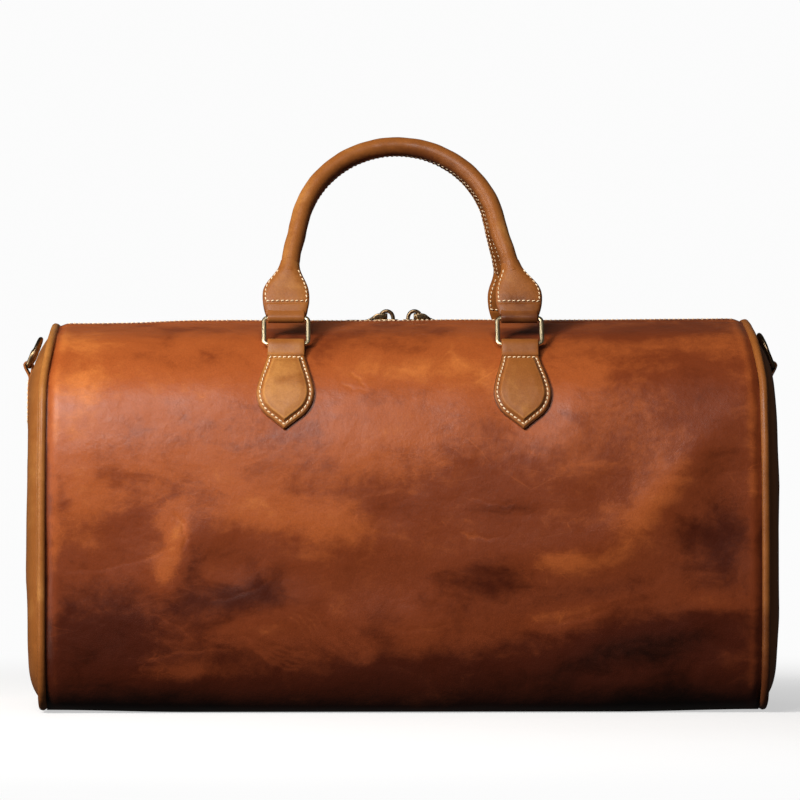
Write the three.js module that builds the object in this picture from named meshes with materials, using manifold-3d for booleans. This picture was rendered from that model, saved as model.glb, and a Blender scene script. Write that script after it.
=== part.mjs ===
// A leather duffel bag with two rolled handles, a two-way zip and a D-ring on each end.
// Millimetres. +Z is up, the front faces -Y, the length runs along X,
// and the origin is on the floor under the middle of the bag.
import * as THREE from "three";
import { mergeVertices } from "three/addons/utils/BufferGeometryUtils.js";
import Module from "manifold-3d";

const wasm = await Module();
wasm.setup();

// ---------- driving dimensions ----------

const SEAM_X = 249; // half length of the bag between its two end seams
const SEAM_DRAW_IN = 5; // how much shorter that half length is along the zip
const DRAW_IN_FROM = 225; // height where the ends start to draw in
const HEIGHT = 275.5; // floor to the leather edges beside the zip
const BASE_HALF = 84; // half width of the flat base
const END_BULGE = 12.7; // how far an end panel bulges past its seam
const BULGE_POWER = 11; // larger is flatter in the middle and steeper at the rim
const END_CENTRE_Z = 137;
const END_RINGS = [1, 0.95, 0.87, 0.75, 0.5, 0.3]; // shares of the way from its centre to its rim

// Half of the cross-section: distance from the middle plane, height above the floor.
const PROFILE = new THREE.SplineCurve([
  new THREE.Vector2(BASE_HALF, 0),
  new THREE.Vector2(103, 7),
  new THREE.Vector2(115, 27),
  new THREE.Vector2(119.5, 62),
  new THREE.Vector2(120, 105),
  new THREE.Vector2(117.5, 150),
  new THREE.Vector2(111, 192),
  new THREE.Vector2(97, 231),
  new THREE.Vector2(69, 260),
  new THREE.Vector2(36, 271),
  new THREE.Vector2(8, HEIGHT),
]);
PROFILE.arcLengthDivisions = 600;
const PROFILE_LENGTH = PROFILE.getLength();
const FOLD_AT = 0.8; // share of the profile where the mouth flap folds, at the crown
const PANEL_SHARES = [0, 0.05, 0.1, 0.15, 0.2, 0.3, 0.4, 0.5, 0.6, 0.65, 0.7, 0.75];
const FLAP_SHARES = [FOLD_AT, 0.85, 0.9, 0.95, 1];

const GAP = 0.3; // clearance between touching pieces
const LEATHER = 2.0;
const LINING = 0.8;
const BASE_MARGIN = 1.4; // the base panel stops this far inside the seam of the front and back
const BOARD = 2.5;
const BOARD_MARGIN = 6; // the board and the base lining stop this far inside the end seams
const BASE_LINING_MARGIN = 2; // and the lining this far inside the edges of the board

const FOLD_GAP = 0.4; // between the panel and its flap
const FLAP_SHORTER = 0.4; // a flap stops this far inside the end seams
const LINING_SHORTER = 1.5;
const MOUTH_LINING_SHORTER = 3;
const MOUTH_LINING_EDGE = 4; // from the leather edge beside the zip to the lining of the flap

const PIPING_R = 2.5;
const PIPING_WALL = 0.7;
const PIPING_INSET = 1.2; // piping centre below the panel surface
const PIPING_SLIT = 0.5; // half angle of the open side, where its two edges are sewn in
const PIPING_CORD_R = 0.9;

const TAPE = 0.8;
const TOOTH_WIDTH = 3.3;
const TOOTH_HEIGHT = 3.8;
const TEETH_HALF_LENGTH = 221;
const TAPE_HALF_LENGTH = 238;
const APART_HALF_LENGTH = 9.5; // the rows of teeth stand apart this far either side of the middle
const APART_HALF_WIDTH = 1.9;
const STOP_LENGTH = 4;

const SLIDER_LENGTH = 17;
const SLIDER_HALF_WIDTH = 6.2;
const SLIDER_NARROW_HALF = 4.6; // half width at its outer end
const SLIDER_CORNER = 3;
const SLIDER_PLATE = 1.5;
const SLIDER_START = 1.5; // the two sliders stand this far either side of the middle
const WEDGE_START = 0.8; // the wedge between a slider's plates, from its inner end
const WEDGE_LENGTH = 4.7;
const WEDGE_HALF_WIDTH = 1.4;
const BRIDGE_HALF_WIDTH = 1.2;
const BRIDGE_HALF_LENGTH = 5.5;
const BRIDGE_RISE = 4.6; // its top above the middle of the pull
const BRIDGE_THICKNESS = 1.8;
const BRIDGE_POST = 2;
const CAST_IN = 0.5; // the wedge and the posts run this far into a plate

const PULL_FROM_START = 8.5; // the pull turns this far from its slider's inner end
const PULL_NOSE = 0.6; // from that turning point to the inner end of the pull
const PULL_LENGTH = 29;
const PULL_HALF_WIDTH = 3.4;
const PULL_THICKNESS = 1.8;
const SLOT_WALL = 2; // from the inner end of the pull to its slot
const SLOT_LENGTH = 8.5;
const SLOT_CLEARANCE = 0.5; // either side of the bridge

const RING_X = 82; // handle rings, from the middle of the bag
const RING_WIDTH = 31; // between the middles of the side bars
const RING_HEIGHT = 20.5; // between the middles of the lower and upper bars
const RING_CORNER = 2.4;
const BAR_R = 1.7; // all ring bars
const BAR_HOLE_R = BAR_R + GAP;
const LOOP_R = 3.8; // outside of a leather loop round a bar
const BAR_STANDOFF = 4.4; // bar middle above the leather it lies on
const RING_BELOW_FOLD = 9.5; // from the crown down to the bar, along the profile
const BAR_SIDES = 6;

const HANDLE_LEAN = THREE.MathUtils.degToRad(27.1); // both handles lean in and meet at the top
const GRIP_R = 6.2;
const CORE_R = 3.7;
const CORE_CLEARANCE = 1.2; // between the core and the leather rolled round it
const CORE_SHORTER = 4; // the core stops this far above each foot
const GRIP_SLIT = 0.08; // half angle of the open seam along the inside of the grip
const ARCH_HALF = 70; // half width of the arch's middle line
const ARCH_RISE = 74.2;
const ARCH_V = 85; // middle of the arch above the lower bar, along the leaning plane
const ARCH_FROM = THREE.MathUtils.degToRad(10); // the legs run into the arch at this angle
const ARCH_STEPS = 12;
const LEG_FOOT_V = 63; // where the round grip rises out of its flared foot
const LEG_KNEE_V = 76;
const LEG_SPREAD = 0.25; // how far the legs lean outwards on the way down
const STRAP_WIDTH = 26;
const FOOT_STRAP_HALF_THICK = 2.6;

// The flattened foot between the round grip and its strap: height, x, half width, half thickness.
const FOOT_ROWS = [
  [66, 77.2, GRIP_R, GRIP_R],
  [57, 79.0, 8.2, 6.2],
  [50, 80.6, 12.0, 5.6],
  [43, RING_X, 15.3, 4.8],
  [31, RING_X, 15.3, 3.4],
  [28, RING_X, STRAP_WIDTH / 2, 2.8],
];

const CHAPE_HALF_NECK = 13.6;
const CHAPE_HALF_WIDE = 20.5;
const CHAPE_HALF_TIP = 0.8;
const CHAPE_TIP_POWER = 2.2; // larger is fuller towards the point
const CHAPE_LENGTH = 68; // from the bar to the point
const CHAPE_NECK_END = 8;
const CHAPE_WIDE_AT = 37;
const CHAPE_BACK_LENGTH = 34; // of the strap's end behind the chape
const CHAPE_STEPS = 12;

const PAD_MARGIN = 7; // the padding stops this far inside the chape's sides
const PAD_START = 14; // from the bar
const PAD_TIP_MARGIN = 12; // from the chape's point
const PAD_HALF_TIP = 2;
const PAD_STEPS = 6;

const PLY_LOW = 0.4; // back ply of a tab, above the surface below it
const PLY_HIGH = 1.7;
const PLY_NARROWER = 0.5; // either side
const PLY_STEPS = 4;
const COVER_LOW = 3.6; // front ply
const COVER_HIGH = 5.4;
const DROP = 12; // the front ply comes down from the loop to the tab over this length

const D_RING_WIDTH = 30;
const D_RING_LEG = 8;
const D_RING_CORNER = 1.2;
const D_BAR_Z = 242; // height of the D-ring's straight bar
const D_RING_LEAN = THREE.MathUtils.degToRad(22);
const D_TAB_LENGTH = 44;
const D_TAB_TAPER = 4; // how much each side draws in
const D_TAB_TAPER_LENGTH = 8;
const D_TAB_BACK_SHORTER = 6;
const D_TAB_FLATTER = 1.9; // its front ply lies this much lower than one with padding under it
const D_TAB_STEPS = 8;

// ---------- materials ----------

function material(color, roughness, metalness) {
  return new THREE.MeshStandardMaterial({ color, roughness, metalness });
}
const bodyLeather = () => material(0x7a3a16, 0.5, 0);
const trimLeather = () => material(0x98551f, 0.5, 0);
const pipingLeather = () => material(0x5c250e, 0.5, 0);
const brass = () => material(0xb89a5e, 0.3, 1);
const bronze = () => material(0x8a7350, 0.35, 1);
const liningCloth = () => material(0x3b2a1d, 0.9, 0);
const tapeCloth = () => material(0x2a1d14, 0.9, 0);
const padding = () => material(0xcbb89a, 0.9, 0);
const board = () => material(0x6b5a45, 0.8, 0);

// ---------- mesh helpers ----------

const vec = (x, y, z) => new THREE.Vector3(x, y, z);

function geometryFrom(positions, indices) {
  const geometry = new THREE.BufferGeometry();
  geometry.setAttribute("position", new THREE.Float32BufferAttribute(positions, 3));
  geometry.setIndex(indices);
  geometry.computeVertexNormals();
  return geometry;
}

function signedVolume(points, indices) {
  let sum = 0;
  for (let i = 0; i < indices.length; i += 3) {
    const [a, b, c] = [points[indices[i]], points[indices[i + 1]], points[indices[i + 2]]];
    sum += a.dot(vec().crossVectors(b, c)) / 6;
  }
  return sum;
}

// Triangles that fill one flat section, turning the same way as its points.
function capTriangles(section) {
  const normal = vec(0, 0, 0);
  section.forEach((p, i) => {
    normal.add(vec().crossVectors(p, section[(i + 1) % section.length]));
  });
  normal.normalize();
  const side = Math.abs(normal.z) < 0.9 ? vec(0, 0, 1) : vec(1, 0, 0);
  const across = vec().crossVectors(side, normal).normalize();
  const up = vec().crossVectors(normal, across);
  const flat = section.map((p) => new THREE.Vector2(p.dot(across), p.dot(up)));
  return THREE.ShapeUtils.triangulateShape(flat, []).map(([i, j, k]) => {
    const turn = flat[j].clone().sub(flat[i]).cross(flat[k].clone().sub(flat[i]));
    return turn > 0 ? [i, j, k] : [i, k, j];
  });
}

// A closed body through a row of sections, each with the same number of points.
function loft(sections, closed = false) {
  const ring = sections[0].length;
  const points = sections.flat();
  const indices = [];
  const spans = closed ? sections.length : sections.length - 1;
  for (let i = 0; i < spans; i++) {
    const a = i * ring;
    const b = ((i + 1) % sections.length) * ring;
    for (let j = 0; j < ring; j++) {
      const k = (j + 1) % ring;
      indices.push(a + j, b + j, b + k, a + j, b + k, a + k);
    }
  }
  if (!closed) {
    const last = (sections.length - 1) * ring;
    capTriangles(sections[0]).forEach(([i, j, k]) => indices.push(i, j, k));
    capTriangles(sections[sections.length - 1]).forEach(([i, j, k]) => {
      indices.push(last + i, last + k, last + j);
    });
  }
  if (signedVolume(points, indices) < 0) indices.reverse();
  return geometryFrom(points.flatMap((p) => [p.x, p.y, p.z]), indices);
}

function solidOf(geometry) {
  const bare = geometry.clone();
  bare.deleteAttribute("normal");
  bare.deleteAttribute("uv");
  const merged = mergeVertices(bare);
  return new wasm.Manifold(
    new wasm.Mesh({
      numProp: 3,
      vertProperties: merged.attributes.position.array,
      triVerts: new Uint32Array(merged.index.array),
    }),
  );
}

function geometryOf(solid) {
  const mesh = solid.getMesh();
  return geometryFrom(Array.from(mesh.vertProperties), Array.from(mesh.triVerts));
}

const join = (...geometries) => geometryOf(geometries.map(solidOf).reduce((a, b) => a.add(b)));

function box(x0, x1, y0, y1, z0, z1) {
  const geometry = new THREE.BoxGeometry(x1 - x0, y1 - y0, z1 - z0);
  geometry.translate((x0 + x1) / 2, (y0 + y1) / 2, (z0 + z1) / 2);
  return geometry;
}

function addPart(parent, name, geometry, look) {
  const mesh = new THREE.Mesh(geometry, look);
  mesh.name = name;
  parent.add(mesh);
}

// ---------- the shape of the bag ----------

// Half length between the seams at a height.
function seamX(z) {
  return SEAM_X - SEAM_DRAW_IN * THREE.MathUtils.smoothstep(z, DRAW_IN_FROM, HEIGHT);
}

// A point of the front surface at a distance along the profile, moved out along its normal.
function frontPoint(distance, offset) {
  const u = THREE.MathUtils.clamp(distance / PROFILE_LENGTH, 0, 1);
  const p = PROFILE.getPointAt(u);
  const t = PROFILE.getTangentAt(u);
  return { y: -(p.x + t.y * offset), z: p.y - t.x * offset };
}

// Distances along the profile of the stations that every sheet of the bag shares.
const profileLengths = PROFILE.getLengths(PROFILE.arcLengthDivisions);
const distanceAt = (share) => profileLengths[Math.round(share * PROFILE.arcLengthDivisions)];
const FOLD = distanceAt(FOLD_AT);
const PANEL_STATIONS = [...PANEL_SHARES.map(distanceAt), FOLD - FOLD_GAP];
const FLAP_STATIONS = FLAP_SHARES.map(distanceAt);
const END_STATIONS = [...PANEL_SHARES, ...FLAP_SHARES].map(distanceAt);

// A sheet that follows the front through some stations, between two depths.
function frontSheet(stations, shallow, deep, shorter) {
  return loft(
    stations.map((distance) => {
      const outer = frontPoint(distance, -shallow);
      const inner = frontPoint(distance, -deep);
      const x = seamX(outer.z) - shorter;
      return [
        vec(-x, outer.y, outer.z),
        vec(x, outer.y, outer.z),
        vec(x, inner.y, inner.z),
        vec(-x, inner.y, inner.z),
      ];
    }),
  );
}

// The closed outline of an end, moved in from the surface, with the way out at each point.
function endOutline(inset, floor) {
  const half = END_STATIONS.map((distance) => {
    const p = frontPoint(distance, -inset);
    const q = frontPoint(distance, -inset + 1);
    return { y: p.y, z: Math.max(p.z, floor), outY: q.y - p.y, outZ: q.z - p.z };
  });
  const other = half.map((p) => ({ ...p, y: -p.y, outY: -p.outY })).reverse();
  const baseZ = half[0].z;
  const base = [0.5, 0, -0.5].map((k) => ({ y: k * BASE_HALF, z: baseZ, outY: 0, outZ: -1 }));
  return [...half, ...other, ...base];
}

// Height of the end panel's outer surface past the seam, at a share of the way to its rim.
const endLift = (share) => END_BULGE * (1 - share ** BULGE_POWER);

// ---------- end panel, its lining and its piping (drawn at the +X end) ----------

function endShell(inset, depth, thickness) {
  const outline = endOutline(inset, inset + PIPING_R - PIPING_INSET + GAP);
  const ring = (share, down) =>
    outline.map((p) => {
      const y = p.y * share;
      const z = END_CENTRE_Z + (p.z - END_CENTRE_Z) * share;
      return vec(seamX(z) + LEATHER + GAP + endLift(share) - down, y, z);
    });
  const inner = END_RINGS.map((share) => ring(share, depth + thickness)).reverse();
  const outer = END_RINGS.map((share) => ring(share, depth));
  return loft([...inner, ...outer]);
}

function endPanel() {
  return endShell(PIPING_INSET + PIPING_R + GAP, 0, LEATHER);
}

function endLining() {
  return endShell(PIPING_INSET + PIPING_R + 2 * GAP, LEATHER + 2 * GAP, LINING);
}

// Angles round an open tube, from one edge of its slit to the other.
function anglesRound(steps, slit) {
  return Array.from({ length: steps + 1 }, (_, k) => slit + (k / steps) * 2 * (Math.PI - slit));
}

// One section across the piping: dir is the way out from the bag, the other way is +X.
function pipingPoint(centre, dir, radius, angle) {
  const out = vec(0, -dir.outY, -dir.outZ).multiplyScalar(Math.cos(angle) * radius);
  return centre.clone().add(out).add(vec(Math.sin(angle) * radius, 0, 0));
}

function pipingLoop(sectionAt) {
  const outline = endOutline(PIPING_INSET, PIPING_R + GAP);
  return loft(
    outline.map((p) => sectionAt(vec(seamX(p.z) + GAP + PIPING_R, p.y, p.z), p)),
    true,
  );
}

function piping() {
  const outerAngles = anglesRound(5, PIPING_SLIT);
  const innerAngles = anglesRound(4, PIPING_SLIT).reverse();
  return pipingLoop((centre, p) => [
    ...outerAngles.map((angle) => pipingPoint(centre, p, PIPING_R, angle)),
    ...innerAngles.map((angle) => pipingPoint(centre, p, PIPING_R - PIPING_WALL, angle)),
  ]);
}

function pipingCord() {
  const angles = anglesRound(5, 0).slice(1);
  return pipingLoop((centre, p) => angles.map((angle) => pipingPoint(centre, p, PIPING_CORD_R, angle)));
}

// ---------- leather loops that hold a bar, and the tab that hangs from each ----------

// A thin ring of leather round a bar that runs across the strap.
function barLoop(centre, across, width) {
  const shape = new THREE.Shape();
  shape.absarc(0, 0, LOOP_R, 0, 2 * Math.PI);
  const hole = new THREE.Path();
  hole.absarc(0, 0, BAR_HOLE_R, 0, 2 * Math.PI, true);
  shape.holes.push(hole);
  const geometry = new THREE.ExtrudeGeometry(shape, { depth: width, bevelEnabled: false, curveSegments: 6 });
  geometry.translate(0, 0, -width / 2);
  geometry.applyQuaternion(new THREE.Quaternion().setFromUnitVectors(vec(0, 0, 1), across));
  geometry.translate(centre.x, centre.y, centre.z);
  return geometry;
}

// A strip that follows a surface. surface(s, offset) is a point on its middle line,
// rows are [distance, half width, lower offset, upper offset].
function strip(surface, across, rows) {
  return loft(
    rows.map(([s, half, low, high]) => {
      const side = across.clone().multiplyScalar(half);
      const bottom = surface(s, low);
      const top = surface(s, high);
      return [
        bottom.clone().sub(side),
        bottom.clone().add(side),
        top.clone().add(side),
        top.clone().sub(side),
      ];
    }),
  );
}

// Half width of the shield-shaped chape at a distance below the bar.
function chapeHalfWidth(s) {
  if (s < CHAPE_WIDE_AT) {
    const rise = THREE.MathUtils.smoothstep(s, CHAPE_NECK_END, CHAPE_WIDE_AT);
    return THREE.MathUtils.lerp(CHAPE_HALF_NECK, CHAPE_HALF_WIDE, rise);
  }
  const t = (s - CHAPE_WIDE_AT) / (CHAPE_LENGTH - CHAPE_WIDE_AT);
  return CHAPE_HALF_WIDE * (1 - t ** CHAPE_TIP_POWER) + CHAPE_HALF_TIP * t;
}

// flatter is how much lower the front ply lies where no padding is under it.
function coverRows(length, halfWidth, steps, flatter) {
  const rows = [];
  for (let i = 0; i <= steps; i++) {
    const s = (i / steps) * length;
    const fall = THREE.MathUtils.smoothstep(s, 0, DROP);
    const high = THREE.MathUtils.lerp(BAR_STANDOFF + LOOP_R, COVER_HIGH - flatter, fall);
    rows.push([s, halfWidth(s), high - (COVER_HIGH - COVER_LOW), high]);
  }
  return rows;
}

function backPlyRows(length) {
  return Array.from({ length: PLY_STEPS + 1 }, (_, i) => [
    (i / PLY_STEPS) * length,
    STRAP_WIDTH / 2 - PLY_NARROWER,
    PLY_LOW,
    PLY_HIGH,
  ]);
}

function tabWithLoop(surface, across, cover, backLength) {
  return join(
    barLoop(surface(0, BAR_STANDOFF), across, STRAP_WIDTH),
    strip(surface, across, cover),
    strip(surface, across, backPlyRows(backLength)),
  );
}

const RING_DISTANCE = FOLD - RING_BELOW_FOLD; // along the profile, where the chape's bar lies
const X_AXIS = vec(1, 0, 0);
const Y_AXIS = vec(0, 1, 0);

function chapeSurface(x) {
  return (s, offset) => {
    const p = frontPoint(RING_DISTANCE - s, offset);
    return vec(x, p.y, p.z);
  };
}

function chape(x) {
  const cover = coverRows(CHAPE_LENGTH, chapeHalfWidth, CHAPE_STEPS, 0);
  return tabWithLoop(chapeSurface(x), X_AXIS, cover, CHAPE_BACK_LENGTH);
}

function chapePadding(x) {
  const rows = [];
  for (let i = 0; i <= PAD_STEPS; i++) {
    const s = THREE.MathUtils.lerp(PAD_START, CHAPE_LENGTH - PAD_TIP_MARGIN, i / PAD_STEPS);
    const half = Math.max(chapeHalfWidth(s) - PAD_MARGIN, PAD_HALF_TIP);
    rows.push([s, half, PLY_HIGH + GAP, COVER_LOW - GAP]);
  }
  return strip(chapeSurface(x), X_AXIS, rows);
}

// ---------- handle rings and handles, in the leaning plane ----------

const LOWER_BAR = frontPoint(RING_DISTANCE, BAR_STANDOFF);

// x along the bag, v up the leaning plane from the lower bar, w out of it towards the front.
function leaning(x, v, w) {
  return vec(
    x,
    LOWER_BAR.y + v * Math.sin(HANDLE_LEAN) - w * Math.cos(HANDLE_LEAN),
    LOWER_BAR.z + v * Math.cos(HANDLE_LEAN) + w * Math.sin(HANDLE_LEAN),
  );
}

// A bar of round section bent along a closed flat path of points with x and y.
function bentBar(path, radius, place) {
  return loft(
    path.map((p, i) => {
      const before = path[(i + path.length - 1) % path.length];
      const after = path[(i + 1) % path.length];
      const ahead = after.clone().sub(before).normalize();
      const out = new THREE.Vector2(ahead.y, -ahead.x);
      return Array.from({ length: BAR_SIDES }, (_, k) => {
        const angle = ((k + 0.5) / BAR_SIDES) * 2 * Math.PI;
        const reach = Math.cos(angle) * radius;
        return place(p.x + out.x * reach, p.y + out.y * reach, Math.sin(angle) * radius);
      });
    }),
    true,
  );
}

function ringPath() {
  const path = [];
  const corners = [
    [1, 0],
    [1, 1],
    [-1, 1],
    [-1, 0],
  ];
  corners.forEach(([side, top], corner) => {
    const cx = side * (RING_WIDTH / 2 - RING_CORNER);
    const cy = top ? RING_HEIGHT - RING_CORNER : RING_CORNER;
    for (let k = 0; k <= 3; k++) {
      const angle = ((corner - 1 + k / 3) * Math.PI) / 2;
      path.push(new THREE.Vector2(cx + RING_CORNER * Math.cos(angle), cy + RING_CORNER * Math.sin(angle)));
    }
  });
  return path;
}

function handleRing(x) {
  return bentBar(ringPath(), BAR_R, (a, b, c) => leaning(x + a, b, c));
}

const archPoint = (angle) => ({
  x: ARCH_HALF * Math.cos(angle),
  v: ARCH_V + ARCH_RISE * Math.sin(angle),
  outX: Math.cos(angle),
  outV: Math.sin(angle),
});

function legPoint(v) {
  const start = archPoint(ARCH_FROM);
  return { x: start.x + LEG_SPREAD * (start.v - v), v, outX: 1, outV: 0 };
}

// Middle line of the grip with the way out of the arch at each point.
function gripPath(footV) {
  const leg = [legPoint(footV), legPoint(LEG_KNEE_V)];
  const arch = Array.from({ length: ARCH_STEPS + 1 }, (_, i) =>
    archPoint(THREE.MathUtils.lerp(ARCH_FROM, Math.PI - ARCH_FROM, i / ARCH_STEPS)),
  );
  const otherLeg = leg.map((p) => ({ ...p, x: -p.x, outX: -p.outX })).reverse();
  return [...leg, ...arch, ...otherLeg];
}

function gripPoint(p, radius, angle) {
  const reach = -Math.cos(angle) * radius;
  return leaning(p.x + p.outX * reach, p.v + p.outV * reach, Math.sin(angle) * radius);
}

// The leather of the grip: an open tube whose edges meet on the inside of the arch.
function gripTube() {
  const outer = anglesRound(6, GRIP_SLIT);
  const inner = anglesRound(5, GRIP_SLIT).reverse();
  return loft(
    gripPath(LEG_FOOT_V).map((p) => [
      ...outer.map((angle) => gripPoint(p, GRIP_R, angle)),
      ...inner.map((angle) => gripPoint(p, CORE_R + CORE_CLEARANCE, angle)),
    ]),
  );
}

function gripCore() {
  const angles = anglesRound(6, 0).slice(1);
  return loft(
    gripPath(LEG_FOOT_V + CORE_SHORTER).map((p) => angles.map((angle) => gripPoint(p, CORE_R, angle))),
  );
}

function flaredFoot(side) {
  const sides = 8;
  return loft(
    FOOT_ROWS.map(([v, x, halfWidth, halfThick]) =>
      Array.from({ length: sides }, (_, k) => {
        const angle = ((k + 0.5) / sides) * 2 * Math.PI;
        return leaning(side * x + Math.cos(angle) * halfWidth, v, Math.sin(angle) * halfThick);
      }),
    ),
  );
}

// The strap that comes down from the foot and loops round the ring's upper bar.
function footStrap(side) {
  const x = side * RING_X;
  const half = STRAP_WIDTH / 2;
  const thick = FOOT_STRAP_HALF_THICK;
  const section = (v) => [
    leaning(x - half, v, -thick),
    leaning(x + half, v, -thick),
    leaning(x + half, v, thick),
    leaning(x - half, v, thick),
  ];
  const [footBottom] = FOOT_ROWS[FOOT_ROWS.length - 1];
  const neck = loft([section(RING_HEIGHT + BAR_HOLE_R + GAP), section(footBottom + LOOP_R)]);
  return join(barLoop(leaning(x, RING_HEIGHT, 0), X_AXIS, STRAP_WIDTH), neck);
}

function handleLeather() {
  return join(flaredFoot(1), flaredFoot(-1), footStrap(1), footStrap(-1), gripTube());
}

// ---------- zip ----------

const TAPE_TOP = LEATHER + GAP; // depth of the tape's top below the leather surface
const ZIP_Z = frontPoint(PROFILE_LENGTH, -TAPE_TOP - TAPE / 2).z; // middle of the teeth

function zipTape() {
  const underLeather = FLAP_STATIONS.slice(-2).map((distance) => {
    const top = frontPoint(distance, -TAPE_TOP);
    const bottom = frontPoint(distance, -TAPE_TOP - TAPE);
    return tapeSection(top.y, top.z, bottom.z);
  });
  const edge = tapeSection(-TOOTH_WIDTH - GAP, ZIP_Z + TAPE / 2, ZIP_Z - TAPE / 2);
  return loft([...underLeather, edge]);
}

function tapeSection(y, top, bottom) {
  const x = TAPE_HALF_LENGTH;
  return [vec(-x, y, top), vec(x, y, top), vec(x, y, bottom), vec(-x, y, bottom)];
}

function teethRow() {
  const half = TOOTH_HEIGHT / 2;
  const row = box(-TEETH_HALF_LENGTH, TEETH_HALF_LENGTH, -TOOTH_WIDTH, -GAP / 2, ZIP_Z - half, ZIP_Z + half);
  const reach = APART_HALF_LENGTH;
  const apart = box(-reach, reach, -APART_HALF_WIDTH, GAP, ZIP_Z - 2 * half, ZIP_Z + 2 * half);
  return geometryOf(solidOf(row).subtract(solidOf(apart)));
}

function zipStop() {
  const x = TEETH_HALF_LENGTH + GAP;
  return box(x, x + STOP_LENGTH, -TOOTH_WIDTH, TOOTH_WIDTH, ZIP_Z + TAPE / 2 + GAP, ZIP_Z + TOOTH_HEIGHT / 2);
}

const PLATE_TOP = ZIP_Z + TOOTH_HEIGHT / 2 + GAP + SLIDER_PLATE;
const PULL_Z = PLATE_TOP + GAP + PULL_THICKNESS / 2; // the pull turns about this height
const PULL_X = SLIDER_START + PULL_FROM_START; // and this distance from the middle
const BRIDGE_TOP = PULL_Z + BRIDGE_RISE;

// A slider at the +X side: two plates, the wedge between them and the bridge that holds the pull.
function sliderPlate(z0) {
  const wide = SLIDER_HALF_WIDTH;
  const corner = SLIDER_CORNER;
  const shape = new THREE.Shape();
  shape.moveTo(SLIDER_START, -wide + corner / 2);
  shape.quadraticCurveTo(SLIDER_START, -wide, SLIDER_START + corner, -wide);
  shape.lineTo(SLIDER_START + SLIDER_LENGTH, -SLIDER_NARROW_HALF);
  shape.lineTo(SLIDER_START + SLIDER_LENGTH, SLIDER_NARROW_HALF);
  shape.lineTo(SLIDER_START + corner, wide);
  shape.quadraticCurveTo(SLIDER_START, wide, SLIDER_START, wide - corner / 2);
  const geometry = new THREE.ExtrudeGeometry(shape, {
    depth: SLIDER_PLATE,
    bevelEnabled: false,
    curveSegments: 3,
  });
  geometry.translate(0, 0, z0);
  return geometry;
}

function slider() {
  const low = ZIP_Z - TOOTH_HEIGHT / 2 - GAP;
  const root = PLATE_TOP - CAST_IN;
  const start = SLIDER_START + WEDGE_START;
  const half = WEDGE_HALF_WIDTH;
  return join(
    sliderPlate(PLATE_TOP - SLIDER_PLATE),
    sliderPlate(low - SLIDER_PLATE),
    box(start, start + WEDGE_LENGTH, -half, half, low - CAST_IN, root),
    ...bridge(root),
  );
}

function bridge(root) {
  const near = PULL_X - BRIDGE_HALF_LENGTH;
  const far = PULL_X + BRIDGE_HALF_LENGTH;
  const half = BRIDGE_HALF_WIDTH;
  return [
    box(near, near + BRIDGE_POST, -half, half, root, BRIDGE_TOP),
    box(far - BRIDGE_POST, far, -half, half, root, BRIDGE_TOP),
    box(near, far, -half, half, BRIDGE_TOP - BRIDGE_THICKNESS, BRIDGE_TOP),
  ];
}

// A flat pull lying outwards from its slider, with a slot that clears the bridge.
function zipPull() {
  const start = PULL_X - PULL_NOSE;
  const end = PULL_X + PULL_LENGTH;
  const shape = new THREE.Shape();
  shape.moveTo(start, -PULL_HALF_WIDTH);
  shape.lineTo(end - PULL_HALF_WIDTH, -PULL_HALF_WIDTH);
  shape.absarc(end - PULL_HALF_WIDTH, 0, PULL_HALF_WIDTH, -Math.PI / 2, Math.PI / 2);
  shape.lineTo(start, PULL_HALF_WIDTH);
  const slot = new THREE.Path();
  const clear = BRIDGE_HALF_WIDTH + SLOT_CLEARANCE;
  const slotStart = start + SLOT_WALL;
  slot.moveTo(slotStart, -clear);
  slot.lineTo(slotStart, clear);
  slot.lineTo(slotStart + SLOT_LENGTH, clear);
  slot.lineTo(slotStart + SLOT_LENGTH, -clear);
  shape.holes.push(slot);
  const geometry = new THREE.ExtrudeGeometry(shape, {
    depth: PULL_THICKNESS,
    bevelEnabled: false,
    curveSegments: 5,
  });
  geometry.translate(0, 0, PULL_Z - PULL_THICKNESS / 2);
  return geometry;
}

// ---------- D-ring and its tab on the end panel (drawn at the +X end) ----------

// A point of the end panel's middle line at a distance below the D-ring's bar.
function endSurface(s, offset) {
  const z = D_BAR_Z - s;
  const rimTop = HEIGHT - PIPING_INSET - PIPING_R - GAP;
  const at = (height) => {
    const share = Math.abs(height - END_CENTRE_Z) / (rimTop - END_CENTRE_Z);
    return seamX(height) + LEATHER + GAP + endLift(share);
  };
  const slope = (at(z + 1) - at(z - 1)) / 2;
  const length = Math.hypot(1, slope);
  return vec(at(z) + offset / length, 0, z - (slope * offset) / length);
}

const D_BAR = endSurface(0, BAR_STANDOFF);

function dRing() {
  const half = D_RING_WIDTH / 2;
  const corner = D_RING_CORNER;
  const path = [
    new THREE.Vector2(-half + corner, 0),
    new THREE.Vector2(half - corner, 0),
    new THREE.Vector2(half, corner),
  ];
  const steps = 10;
  for (let k = 0; k <= steps; k++) {
    const angle = (k / steps) * Math.PI;
    path.push(new THREE.Vector2(half * Math.cos(angle), D_RING_LEG + half * Math.sin(angle)));
  }
  path.push(new THREE.Vector2(-half, corner));
  return bentBar(path, BAR_R, (a, b, c) =>
    vec(
      D_BAR.x - b * Math.sin(D_RING_LEAN) + c * Math.cos(D_RING_LEAN),
      a,
      D_BAR.z + b * Math.cos(D_RING_LEAN) + c * Math.sin(D_RING_LEAN),
    ),
  );
}

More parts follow.
